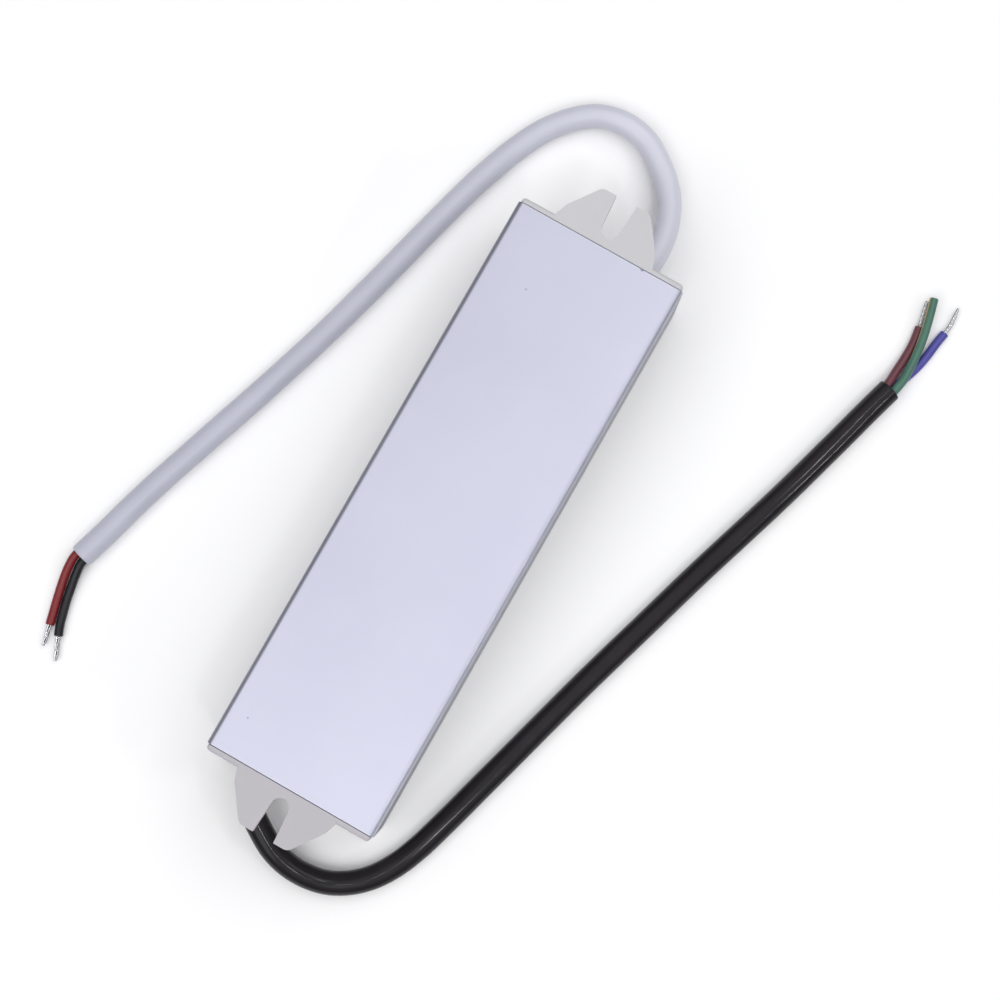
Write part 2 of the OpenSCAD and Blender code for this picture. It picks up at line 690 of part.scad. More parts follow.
module circuit_board() {
    color([0.75, 0.62, 0.35])
    translate([0, 0, board_z]) difference() {
        translate([-board_l / 2, -board_w / 2, 0]) cube([board_l, board_w, board_t]);
        for (p = all_pins)
            translate([p.x, -p.y, -cut]) cylinder(r = pin_d / 2 + hole_fit, h = board_t + 2 * cut);
        for (p = lead_pads)
            translate([p.x, -p.y, -cut]) cylinder(r = strand_d / 2 + hole_fit, h = board_t + 2 * cut);
        translate([opto_at.x - milled_slot_w / 2, -opto_at.y - opto_l / 2, -cut])
            cube([milled_slot_w, opto_l, board_t + 2 * cut]);
    }
}
// A cone of solder round a wire of diameter d, which stands out of its tip
module joint(p, d) {
    tip_t = 0.15;
    translate([p.x, p.y, -board_t]) rotate([180, 0, 0]) difference() {
        cylinder(d1 = joint_d, d2 = d + 2 * tip_t, h = pin_out * 3 / 4);
        translate([0, 0, -cut]) cylinder(d = d, h = pin_out + 2 * cut);
    }
}
module solder_joints() {
    color("silver") on_board() {
        for (p = all_pins) joint(p, pin_d);
        for (p = lead_pads) joint(p, strand_d);
    }
}
module insulation_sheet() {
    sheet_w = board_w - 2 * cavity_corner_r;
    color([0.9, 0.9, 0.8])
    translate([-board_l / 2, -sheet_w / 2, case_h - case_wall - sheet_t])
        cube([board_l, sheet_w, sheet_t]);
}

// A wire-ended part that lies between two pins: a thick cap at each end of a thinner body
module lying_part(points, d, l) {
    body_d = 0.88 * d;
    cap_l = l / 4;
    axis_z = d / 2 + stand_off;
    middle = (points[0] + points[1]) / 2;
    span = norm(points[1] - points[0]);
    turn = points[0].x == points[1].x ? 90 : 0;
    pins(points, axis_z);
    translate([middle.x, middle.y, axis_z]) rotate([0, 0, turn]) rotate([0, 90, 0]) {
        translate([0, 0, -(span + pin_d) / 2]) cylinder(d = pin_d, h = span + pin_d);
        translate([0, 0, -l / 2]) cylinder(d = body_d, h = l);
        for (z = [-l / 2, l / 2 - cap_l]) translate([0, 0, z]) cylinder(d = d, h = cap_l);
    }
}
// A dipped disc that stands on its edge, with its axis along X, or along Y when turned
module standing_disc(at, points, d, t, turn) {
    edge_r = t / 4;
    pins(points, stand_off + d / 3);
    translate([at.x, at.y, stand_off + d / 2]) rotate([0, 0, turn]) rotate([0, 90, 0])
        translate([0, 0, -t / 2]) rotate_extrude() {
            square([d / 2 - edge_r, t]);
            translate([0, edge_r]) square([d / 2, t - 2 * edge_r]);
            for (z = [edge_r, t - edge_r]) translate([d / 2 - edge_r, z]) circle(edge_r);
        }
}
// A sleeved capacitor can with a crimped neck and a cross in its top
module can(at, points, d, h) {
    neck_z = 2;
    neck_depth = 0.5;
    rim = 0.6;
    cross_w = 0.4;
    cross_depth = 0.3;
    pins(points, stand_off + weld);
    translate([at.x, at.y, stand_off]) difference() {
        rotate_extrude() polygon([
            [0, 0], [d / 2 - rim, 0], [d / 2, rim], [d / 2, neck_z - neck_depth],
            [d / 2 - neck_depth, neck_z], [d / 2, neck_z + neck_depth],
            [d / 2, h - stand_off - rim], [d / 2 - rim, h - stand_off], [0, h - stand_off]
        ]);
        for (turn = [0, 90]) rotate([0, 0, turn])
            translate([-d / 4, -cross_w / 2, h - stand_off - cross_depth]) cube([d / 2, cross_w, cut]);
    }
}
// A dual in-line body with two rows of legs and a notch at one end
module chip(at, points, l) {
    leg_w = 1.2;
    leg_t = 0.3;
    notch_r = 0.8;
    notch_depth = 0.4;
    leg_z = stand_off + chip_h / 2;
    pins(points, leg_z);
    for (p = points) {
        side = sign(p.x - at.x);
        translate([at.x + side * (chip_w / 2 - weld), p.y - leg_w / 2, leg_z - leg_t / 2])
            scale([side, 1, 1]) cube([(row_pitch - chip_w) / 2 + weld, leg_w, leg_t]);
    }
    translate([at.x, at.y, stand_off]) difference() {
        translate([-chip_w / 2, -l / 2, 0]) cube([chip_w, l, chip_h]);
        translate([0, l / 2, chip_h - notch_depth]) cylinder(r = notch_r, h = cut);
    }
}
// A power part with its metal tab against the spreader on one side wall
module power_part(x, side, points) {
    pins(points, power_leg + weld);
    translate([x, 0, 0]) difference() {
        union() {
            translate([-power_w / 2, side > 0 ? power_y : -spreader_y, power_leg])
                cube([power_w, power_t, power_h]);
            translate([-power_w / 2, side > 0 ? spreader_y - power_tab_t : -spreader_y, power_leg])
                cube([power_w, power_tab_t, power_top - power_leg]);
        }
        translate([0, side * (power_y - cut), screw_z]) rotate([-side * 90, 0, 0])
            cylinder(r = power_hole_r, h = power_t + 2 * cut);
    }
}
module heat_spreader(x, side) {
    translate([x, 0, 0]) difference() {
        translate([-spreader_l / 2, side > 0 ? spreader_y : -pad_y, spreader_z])
            cube([spreader_l, spreader_t, power_top - spreader_z]);
        translate([0, side * (spreader_y - cut), screw_z]) rotate([-side * 90, 0, 0])
            cylinder(r = screw_r, h = spreader_t + 2 * cut);
    }
}
module thermal_pad(x, side) {
    translate([x - spreader_l / 2, side > 0 ? pad_y : -cavity_w / 2, spreader_z])
        cube([spreader_l, pad_t, power_top - spreader_z]);
}
// A pan head screw with a cross recess, through the tab into the spreader
module clamp_screw(x, side) {
    cross_l = 3.2;
    cross_w = 0.6;
    cross_depth = 1;
    translate([x, side * (spreader_y - power_tab_t), screw_z]) rotate([-side * 90, 0, 0]) {
        cylinder(r = screw_r, h = power_tab_t + spreader_t);
        translate([0, 0, -screw_head_h]) difference() {
            cylinder(r = screw_head_r, h = screw_head_h);
            for (turn = [0, 90]) rotate([0, 0, turn])
                translate([-cross_l / 2, -cross_w / 2, -cut]) cube([cross_l, cross_w, cross_depth + cut]);
        }
    }
}

module fuse() {
    color([0.85, 0.8, 0.7]) on_board() lying_part(fuse_pins, fuse_d, fuse_l);
}
module varistor() {
    color([0.2, 0.35, 0.7]) on_board()
        standing_disc(varistor_at, varistor_pins, varistor_d, varistor_t, 0);
}
module thermistor() {
    color([0.15, 0.2, 0.15]) on_board()
        standing_disc(thermistor_at, thermistor_pins, thermistor_d, thermistor_t, 0);
}
module line_filter_capacitor() {
    edge_r = 0.6;
    color([0.85, 0.7, 0.2]) on_board() {
        pins(line_cap_pins, stand_off + weld);
        translate([line_cap_at.x, line_cap_at.y, stand_off])
            soft_box([line_cap_x, line_cap_y, line_cap_z], edge_r);
    }
}

// The line choke: a closed core, and on each upright limb a bobbin with one winding
choke_foot = 2.2;
choke_limb_x = (choke_w - choke_limb) / 2;
choke_flange_t = 0.8;
choke_flange_d = choke_coil_d + 0.6;
choke_tube_d = 1.5 * choke_limb + 0.4;
choke_leg_w = 1.6;
choke_reach = choke_leg + choke_leg_w / 2;
choke_inner_z = choke_foot + choke_limb;
choke_inner_h = choke_h - 2 * choke_limb;
choke_low = choke_inner_z + bobbin_gap;
module line_choke_core() {
    color([0.25, 0.25, 0.25]) on_board()
    translate([choke_at.x, choke_at.y + choke_limb / 2, choke_foot]) rotate([90, 0, 0])
        linear_extrude(choke_limb) difference() {
            translate([-choke_w / 2, 0]) square([choke_w, choke_h]);
            translate([choke_limb - choke_w / 2, choke_limb])
                square([choke_w - 2 * choke_limb, choke_inner_h]);
        }
}
module line_choke_bobbins() {
    hole = choke_limb + 2 * bobbin_gap;
    tube_h = choke_inner_h - 2 * bobbin_gap;
    color([0.85, 0.85, 0.8]) on_board() {
        pins(choke_pins, stand_off + weld);
        for (side = [-1, 1]) translate([choke_at.x + side * choke_limb_x, choke_at.y, 0]) {
            difference() {
                union() {
                    translate([0, 0, choke_low]) cylinder(d = choke_tube_d, h = tube_h);
                    for (z = [0, tube_h - choke_flange_t])
                        translate([0, 0, choke_low + z]) cylinder(d = choke_flange_d, h = choke_flange_t);
                }
                translate([-hole / 2, -hole / 2, 0]) cube([hole, hole, choke_foot + choke_h]);
            }
            for (s = [-1, 1]) translate([-choke_leg_w / 2, s > 0 ? hole / 2 : -choke_reach, stand_off])
                cube([choke_leg_w, choke_reach - hole / 2, choke_low + choke_flange_t - stand_off]);
        }
    }
}
module line_choke_windings() {
    color([0.7, 0.35, 0.15]) on_board()
    for (side = [-1, 1])
        translate([choke_at.x + side * choke_limb_x, choke_at.y, choke_low + choke_flange_t])
            difference() {
                cylinder(d = choke_coil_d, h = choke_inner_h - 2 * (bobbin_gap + choke_flange_t));
                translate([0, 0, -cut]) cylinder(d = choke_tube_d, h = choke_inner_h + 2 * cut);
            }
}
// The bridge rectifier stands on its legs, with one corner cut off to mark its plus side
bridge_foot = 2;
module bridge_rectifier() {
    corner = 2.5;
    color([0.15, 0.15, 0.15]) on_board() {
        pins(bridge_pins, bridge_foot + weld);
        translate([bridge_at.x, bridge_at.y + bridge_t / 2, bridge_foot]) rotate([90, 0, 0])
            linear_extrude(bridge_t) polygon([
                [-bridge_l / 2, 0], [bridge_l / 2, 0], [bridge_l / 2, bridge_h - corner],
                [bridge_l / 2 - corner, bridge_h], [-bridge_l / 2, bridge_h]
            ]);
    }
}
module bulk_capacitor() {
    color([0.1, 0.1, 0.25]) on_board() can(bulk_at, bulk_pins, bulk_d, bulk_h);
}
module startup_resistors() {
    color([0.8, 0.7, 0.5]) on_board()
        for (i = [0, 1])
            lying_part([resistor_pins[2 * i], resistor_pins[2 * i + 1]], resistor_d, resistor_l);
}
module snubber_diode() {
    color([0.12, 0.12, 0.12]) on_board() lying_part(diode_pins, resistor_d, resistor_l);
}
module switching_transistor() {
    color([0.15, 0.15, 0.15]) on_board() power_part(transistor_x, 1, transistor_pins);
}
module output_rectifier() {
    color([0.15, 0.15, 0.15]) on_board() power_part(rectifier_x, -1, rectifier_pins);
}
module primary_heat_spreader() {
    color([0.8, 0.8, 0.82]) on_board() heat_spreader(transistor_x, 1);
}
module secondary_heat_spreader() {
    color([0.8, 0.8, 0.82]) on_board() heat_spreader(rectifier_x, -1);
}
module primary_thermal_pad() {
    color([0.6, 0.65, 0.7]) on_board() thermal_pad(transistor_x, 1);
}
module secondary_thermal_pad() {
    color([0.6, 0.65, 0.7]) on_board() thermal_pad(rectifier_x, -1);
}
module clamp_screws() {
    color("silver") on_board() {
        clamp_screw(transistor_x, 1);
        clamp_screw(rectifier_x, -1);
    }
}
module control_chip() {
    color([0.12, 0.12, 0.12]) on_board() chip(chip_at, chip_pins, chip_l);
}
module optocoupler() {
    color([0.9, 0.9, 0.88]) on_board() chip(opto_at, opto_pins, opto_l);
}
module auxiliary_capacitor() {
    color([0.1, 0.1, 0.1]) on_board() can(aux_cap_at, aux_cap_pins, aux_cap_d, aux_cap_h);
}
module safety_capacitor() {
    color([0.2, 0.4, 0.75]) on_board()
        standing_disc(safety_cap_at, safety_cap_pins, safety_cap_d, safety_cap_t, 90);
}

// The transformer: two E-shaped core halves closed round a bobbin with an upright winding
core_z = bobbin_foot + bobbin_wall;
core_middle = 2 * core_limb;
window_z = core_z + core_limb;
window_h = core_h - 2 * core_limb;
bobbin_hole_x = core_middle / 2 + bobbin_gap;
bobbin_hole_y = core_t / 2 + bobbin_gap;
bobbin_x = bobbin_hole_x + bobbin_wall;
bobbin_y = bobbin_hole_y + bobbin_wall;
bobbin_low = window_z + bobbin_gap;
bobbin_h = window_h - 2 * bobbin_gap;
module core_half() {
    half_h = core_h / 2;
    window_w = core_w / 2 - core_limb - core_middle / 2;
    translate([0, core_t / 2, 0]) rotate([90, 0, 0]) linear_extrude(core_t) difference() {
        translate([-core_w / 2, 0]) square([core_w, half_h]);
        for (s = [-1, 1]) translate([s * (core_middle + window_w) / 2, half_h])
            square([window_w, window_h], center = true);
    }
}
module transformer_core_lower() {
    color([0.25, 0.25, 0.25]) on_board()
        translate([transformer_at.x, transformer_at.y, core_z]) core_half();
}
module transformer_core_upper() {
    color([0.25, 0.25, 0.25]) on_board()
        translate([transformer_at.x, transformer_at.y, core_z + core_h]) rotate([180, 0, 0]) core_half();
}
module transformer_bobbin() {
    high = bobbin_low + bobbin_h - bobbin_wall;
    color([0.2, 0.2, 0.2]) on_board() {
        pins(transformer_pins, core_z);
        translate([transformer_at.x, transformer_at.y, 0]) {
            difference() {
                union() {
                    translate([-bobbin_x, -bobbin_y, bobbin_low])
                        cube([2 * bobbin_x, 2 * bobbin_y, bobbin_h]);
                    translate([-flange_x, -flange_y, bobbin_low])
                        cube([2 * flange_x, 2 * flange_y, bobbin_wall]);
                    translate([-flange_x, -flange_x, high]) cube([2 * flange_x, 2 * flange_x, bobbin_wall]);
                }
                translate([-bobbin_hole_x, -bobbin_hole_y, 0])
                    cube([2 * bobbin_hole_x, 2 * bobbin_hole_y, 2 * core_h]);
            }
            for (s = [-1, 1]) translate([-flange_x, s > 0 ? flange_y - pin_rail_t : -flange_y, stand_off])
                cube([2 * flange_x, pin_rail_t, bobbin_low - stand_off + bobbin_wall / 2]);
        }
    }
}
module transformer_winding() {
    build = flange_x - bobbin_x - 3 * bobbin_gap;
    color([0.85, 0.7, 0.2]) on_board()
        translate([transformer_at.x, transformer_at.y, bobbin_low + bobbin_wall])
            linear_extrude(bobbin_h - 2 * bobbin_wall) difference() {
                rounded_rect(2 * (bobbin_x + build), 2 * (bobbin_y + build), build / 2);
                square([2 * bobbin_x, 2 * bobbin_y], center = true);
            }
}
module output_capacitors() {
    color([0.1, 0.1, 0.1]) on_board()
        for (i = [0, 1])
            can(out_caps_at[i], [out_cap_pins[2 * i], out_cap_pins[2 * i + 1]], out_cap_d, out_cap_h);
}
// The output choke: a bobbin-shaped core with its winding in the waist
choke_rim = 1.2;
choke_waist_d = 0.45 * out_choke_d;
module output_choke_core() {
    color([0.25, 0.25, 0.25]) on_board() {
        pins(out_choke_pins, stand_off + weld);
        translate([out_choke_at.x, out_choke_at.y, stand_off]) {
            cylinder(d = choke_waist_d, h = out_choke_h);
            for (z = [0, out_choke_h - choke_rim])
                translate([0, 0, z]) cylinder(d = out_choke_d, h = choke_rim);
        }
    }
}
module output_choke_winding() {
    color([0.7, 0.35, 0.15]) on_board()
    translate([out_choke_at.x, out_choke_at.y, stand_off + choke_rim]) difference() {
        cylinder(d = out_choke_d - 0.6, h = out_choke_h - 2 * choke_rim);
        translate([0, 0, -cut]) cylinder(d = choke_waist_d, h = out_choke_h);
    }
}

// The room that each part takes up in the potting compound, grown by the potting gap
module box_room(at, w, l, h) {
    g = potting_gap;
    translate([at.x - w / 2 - g, at.y - l / 2 - g, -board_t / 2])
        cube([w + 2 * g, l + 2 * g, h + g + board_t / 2]);
}
module round_room(at, d, h) {
    translate([at.x, at.y, -board_t / 2])
        cylinder(d = d + 2 * potting_gap, h = h + potting_gap + board_t / 2);
}
module power_room(x, side) {
    room_y = power_y - potting_gap;
    translate([x - spreader_l / 2 - potting_gap, side > 0 ? room_y : -case_w / 2, -board_t / 2])
        cube([spreader_l + 2 * potting_gap, case_w / 2 - room_y, power_top + potting_gap + board_t / 2]);
}
module part_rooms() {
    span = resistor_pitch + pin_d;
    box_room(fuse_at, fuse_d, fuse_l + 2 * wire_run + pin_d, fuse_d + stand_off);
    box_room(varistor_at, varistor_t, varistor_d, varistor_d + stand_off);
    box_room(line_cap_at, line_cap_x, line_cap_y, line_cap_z + stand_off);
    box_room(thermistor_at, thermistor_t, thermistor_d, thermistor_d + stand_off);
    box_room(choke_at, 2 * choke_limb_x + choke_flange_d, 2 * choke_reach, choke_low + choke_flange_t);
    box_room(choke_at, choke_w, choke_limb, choke_foot + choke_h);
    for (s = [-1, 1])
        round_room(choke_at + [s * choke_limb_x, 0], choke_flange_d, choke_inner_z + choke_inner_h);
    box_room(bridge_at, bridge_l, bridge_t, bridge_foot + bridge_h);
    for (c = resistors_at) box_room(c, span, resistor_d, resistor_d + stand_off);
    box_room(diode_at, span, resistor_d, resistor_d + stand_off);
    round_room(bulk_at, bulk_d, bulk_h);
    round_room(aux_cap_at, aux_cap_d, aux_cap_h);
    box_room(chip_at, row_pitch + pin_d, chip_l, chip_h + stand_off);
    box_room(transformer_at, core_w, core_t, core_z + core_h);
    box_room(transformer_at, 2 * flange_x, 2 * flange_y, core_z + core_h);
    box_room(opto_at, row_pitch + pin_d, opto_l, chip_h + stand_off);
    box_room(safety_cap_at, safety_cap_d, safety_cap_t, safety_cap_d + stand_off);
    power_room(transistor_x, 1);
    power_room(rectifier_x, -1);
    for (c = out_caps_at) round_room(c, out_cap_d, out_cap_h);
    round_room(out_choke_at, out_choke_d, out_choke_h + stand_off);
    translate([0, 0, -board_t - pin_out - potting_gap]) {
        for (p = concat(all_pins, lead_pads))
            translate([p.x, p.y, 0])
                cylinder(d = joint_d + 2 * potting_gap, h = pin_out + potting_gap + board_t / 2);
        // The auxiliary capacitor's two joints are so close that they share one room
        translate([aux_cap_at.x - pin_d / 2, aux_cap_pins[0].y, 0])
            cube([pin_d, aux_cap_pitch, pin_out + potting_gap + board_t / 2]);
    }
}
module potting_compound() {
    g = potting_gap;
    rail_room_h = rail_over_z + rail_t - rail_under_z + 2 * g;
    plug_room_w = cavity_w - 2 * (plug_gap + plug_wall + g);
    plug_room_h = cavity_h - 2 * (plug_gap + plug_wall + g);
    color([0.3, 0.3, 0.32]) difference() {
        union() {
            along_case(2 * (plug_end - g)) difference() {
                intersection() {
                    rounded_rect(cavity_w - 2 * g, cavity_h - 2 * g, cavity_corner_r);
                    translate([-cavity_w / 2, -cavity_h / 2]) square([cavity_w, cavity_h - sheet_t - g]);
                }
                for (side = [-1, 1])
                    translate([side * cavity_w / 2, rail_under_z - g + rail_room_h / 2 - case_h / 2])
                        square([2 * (rail_reach + g), rail_room_h], center = true);
            }
            along_case(2 * (tube_end - g)) square([plug_room_w, plug_room_h], center = true);
        }
        translate([-board_l / 2 - g, -case_w / 2, board_z - g])
            cube([board_l + 2 * g, case_w, board_t + 2 * g]);
        on_board() part_rooms();
        for (l = concat(output_leads, input_leads)) lead(l, g);
        for (turn = [0, 180]) rotate([0, 0, turn]) translate([0, -exit_y, exit_z]) rotate([0, 90, 0]) {
            translate([0, 0, jacket_end]) cylinder(d = cable_d + 2 * g, h = tube_end);
            translate([0, 0, tie_x - g]) cylinder(r = cable_d / 2 + tie_t + g, h = tie_w + 2 * g);
            translate([-tie_head / 2 - g, 0, tie_x - g])
                cube([tie_head + 2 * g, cable_d / 2 + tie_t / 2 + tie_head + g, tie_w + 2 * g]);
            translate([0, 0, plug_end - g]) cylinder(r = bore_r + sleeve_wall + g, h = plug_depth);
        }
    }
}

housing();
output_end_cap();
input_end_cap();
output_cable();
red_core();
black_core();
red_strands();
black_strands();
input_cable();
brown_core();
green_core();
blue_core();
brown_strands();
blue_strands();
output_cable_tie();
input_cable_tie();
positive_lead();
negative_lead();
live_lead();
neutral_lead();
earth_lead();
potting_compound();
insulation_sheet();
circuit_board();
solder_joints();
fuse();
varistor();
thermistor();
line_filter_capacitor();
line_choke_core();
line_choke_bobbins();
line_choke_windings();
bridge_rectifier();
bulk_capacitor();
startup_resistors();
snubber_diode();
switching_transistor();
primary_heat_spreader();
primary_thermal_pad();
control_chip();
auxiliary_capacitor();
transformer_core_lower();
transformer_core_upper();
transformer_bobbin();
transformer_winding();
safety_capacitor();
optocoupler();
output_rectifier();
secondary_heat_spreader();
secondary_thermal_pad();
clamp_screws();
output_capacitors();
output_choke_core();
output_choke_winding();
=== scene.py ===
import math

import bmesh
import bpy
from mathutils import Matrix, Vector


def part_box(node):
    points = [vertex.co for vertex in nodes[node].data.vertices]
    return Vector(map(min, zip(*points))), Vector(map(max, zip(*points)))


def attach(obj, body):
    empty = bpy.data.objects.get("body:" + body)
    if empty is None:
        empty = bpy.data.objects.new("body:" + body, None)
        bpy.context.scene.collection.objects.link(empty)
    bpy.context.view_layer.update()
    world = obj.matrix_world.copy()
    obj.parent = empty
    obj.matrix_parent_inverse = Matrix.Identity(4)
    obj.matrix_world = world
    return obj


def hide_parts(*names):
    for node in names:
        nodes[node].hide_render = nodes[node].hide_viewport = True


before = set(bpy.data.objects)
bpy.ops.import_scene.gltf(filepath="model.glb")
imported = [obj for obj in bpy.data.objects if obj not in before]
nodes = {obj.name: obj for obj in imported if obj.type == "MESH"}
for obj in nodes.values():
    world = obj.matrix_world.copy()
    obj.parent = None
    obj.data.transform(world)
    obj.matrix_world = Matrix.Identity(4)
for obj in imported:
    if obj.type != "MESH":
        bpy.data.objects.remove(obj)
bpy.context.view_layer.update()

# Camera: it looks straight down on the base from 45 cm above, turned so that the case runs from the
# lower left to the upper right. Its place, tilt and lens are fitted to the photograph.
bpy.ops.object.camera_add(
    location=(-0.02002, -0.03118, 0.480),
    rotation=(math.radians(4.603), math.radians(0.697), math.radians(-60.346)),
)
camera = bpy.context.object
camera.data.sensor_width = 36
camera.data.lens = 73.82
camera.data.clip_start = 0.01
bpy.context.scene.camera = camera
bpy.context.scene.view_settings.view_transform = "Standard"

# Output cable: a round white PVC jacket, 5.8 mm thick, over a red and a black core. It leaves its
# end cap level, drops to the bench in a bend, and runs back beside the case. The cores lie twisted
# in it, one turn in 9 cm, and press the soft jacket into two very flat lobes.
CABLE_R, WHITE_PITCH = 0.0029, 0.09
EXIT_HEIGHT = 0.009
output_exit = (0.0705, -0.0102, EXIT_HEIGHT)
output_points = [
    (0.0565, -0.0102, 0.009), (0.061, -0.0102, 0.009), output_exit,
    (0.076, -0.0105, 0.0087), (0.081, -0.0104, 0.008), (0.086, -0.0093, 0.0069),
    (0.091, -0.007, 0.0056), (0.095, -0.004, 0.0045), (0.0985, 0, 0.0036),
    (0.1012, 0.004, 0.0031), (0.1026, 0.0087, 0.0029), (0.1025, 0.0136, 0.0029),
    (0.101, 0.0182, 0.0029), (0.098, 0.0222, 0.0029), (0.0928, 0.0266, 0.0029),
    (0.0844, 0.031, 0.0029), (0.0754, 0.0343, 0.0029), (0.0617, 0.0382, 0.0029),
    (0.041, 0.0435, 0.0029), (0.023, 0.0485, 0.0029), (0.005, 0.0542, 0.0029),
    (-0.0127, 0.0602, 0.0029), (-0.0305, 0.066, 0.0029), (-0.044, 0.0698, 0.0029),
    (-0.0493, 0.0714, 0.0029),
]


def line_length(line):
    return sum((b - a).length for a, b in zip(line, line[1:]))


def smooth_line(points, step=0.0012, parts=24):
    """A smooth line through the points, in even steps of about this length. It is worked out first
    in so many parts from each point to the next."""
    points = [Vector(p) for p in points]
    gaps = [(b - a).length for a, b in zip(points, points[1:])]
    slopes = [(points[1] - points[0]) / gaps[0]]
    for i in range(1, len(gaps)):
        before = (points[i] - points[i - 1]) / gaps[i - 1]
        after = (points[i + 1] - points[i]) / gaps[i]
        slopes.append((before * gaps[i] + after * gaps[i - 1]) / (gaps[i - 1] + gaps[i]))
    slopes.append((points[-1] - points[-2]) / gaps[-1])
    fine = []
    for i, gap in enumerate(gaps):
        for t in [k / parts for k in range(parts)]:
            fine.append(
                (1 + 2 * t) * (1 - t) ** 2 * points[i]
                + t * (1 - t) ** 2 * gap * slopes[i]
                + t * t * (3 - 2 * t) * points[i + 1]
                - t * t * (1 - t) * gap * slopes[i + 1]
            )
    fine.append(points[-1])
    whole = line_length(fine)
    count = max(4, round(whole / step))
    line, walked = [fine[0]], 0.0
    for here, ahead in zip(fine, fine[1:]):
        reach = walked + (ahead - here).length
        while len(line) < count and len(line) * whole / count <= reach:
            share = (len(line) * whole / count - walked) / (reach - walked)
            line.append(here.lerp(ahead, share))
        walked = reach
    return line + [fine[-1]]


def activate(piece):
    """Selects this piece alone and makes it the active one."""
    bpy.ops.object.select_all(action="DESELECT")
    piece.select_set(True)
    bpy.context.view_layer.objects.active = piece


def pick(piece, kind, wanted):
    """In edit mode, selects just the VERT, EDGE or FACE elements that are wanted."""
    bpy.ops.mesh.select_mode(type=kind)
    bpy.ops.mesh.select_all(action="DESELECT")
    mesh = bmesh.from_edit_mesh(piece.data)
    for element in {"VERT": mesh.verts, "EDGE": mesh.edges, "FACE": mesh.faces}[kind]:
        if wanted(element):
            element.select_set(True)
    bmesh.update_edit_mesh(piece.data)


def drawn_tube(name, line, profile, turn=0.0, start_turn=0.0):
    """A closed tube along the line. Its cross-section is the profile, which turns by so many
    radians a metre. Each ring of the mesh has the profile's points in order."""
    section = bpy.data.curves.new(name + "_section", "CURVE")
    outline = section.splines.new("POLY")
    outline.points.add(len(profile) - 1)
    for point, (x, y) in zip(outline.points, profile):
        point.co = (x, y, 0, 1)
    outline.use_cyclic_u = True
    section_object = bpy.data.objects.new(name + "_section", section)
    bpy.context.collection.objects.link(section_object)
    route = bpy.data.curves.new(name, "CURVE")
    route.dimensions = "3D"
    route.twist_mode = "Z_UP"
    route.bevel_mode = "OBJECT"
    route.bevel_object = section_object
    route.use_fill_caps = True
    spline = route.splines.new("POLY")
    spline.points.add(len(line) - 1)
    along = 0.0
    for i, (point, place) in enumerate(zip(spline.points, line)):
        along += (place - line[i - 1]).length if i else 0
        point.co = (*place, 1)
        point.tilt = start_turn + turn * along
    piece = bpy.data.objects.new(name, route)
    bpy.context.collection.objects.link(piece)
    activate(piece)
    bpy.ops.object.convert(target="MESH")
    bpy.data.objects.remove(section_object)
    bpy.ops.object.mode_set(mode="EDIT")
    bpy.ops.mesh.select_all(action="SELECT")
    bpy.ops.mesh.remove_doubles(threshold=0.000001)
    pick(piece, "FACE", lambda f: len(f.verts) == 3)
    bpy.ops.mesh.dissolve_faces()
    bpy.ops.mesh.select_all(action="SELECT")
    bpy.ops.mesh.normals_make_consistent(inside=False)
    bpy.ops.object.mode_set(mode="OBJECT")
    bpy.ops.object.shade_smooth_by_angle(angle=math.radians(50))
    return piece


def lobed_profile(radius, lobes, depth, count):
    """Points round a cross-section with this many shallow lobes. A depth of 0 makes it a circle."""
    angles = [2 * math.pi * k / count for k in range(count)]
    reaches = [radius * (1 - depth + depth * math.cos(lobes * a)) for a in angles]
    return [(r * math.cos(a), r * math.sin(a)) for r, a in zip(reaches, angles)]


def cut_face(end, reach=0.001):
    """Tells the flat face at a tube's cut end from the others."""
    return lambda f: len(f.verts) > 8 and (f.calc_center_median() - end).length < reach


def stripped_end(jacket, end, wall, depth, lip):
    """Rounds the jacket's cut end and opens it, so that the cores come out of a hollow."""
    activate(jacket)
    bpy.ops.object.mode_set(mode="EDIT")
    pick(jacket, "FACE", cut_face(end))
    inward = [-f.normal for f in bmesh.from_edit_mesh(jacket.data).faces if f.select][0]
    bpy.ops.mesh.bevel(offset=lip, segments=3, affect="EDGES")
    pick(jacket, "FACE", cut_face(end))
    bpy.ops.mesh.inset(thickness=wall - lip)
    bpy.ops.mesh.extrude_region_move(TRANSFORM_OT_translate={"value": depth * inward})
    bpy.ops.object.mode_set(mode="OBJECT")
    bpy.ops.object.shade_smooth_by_angle(angle=math.radians(50))


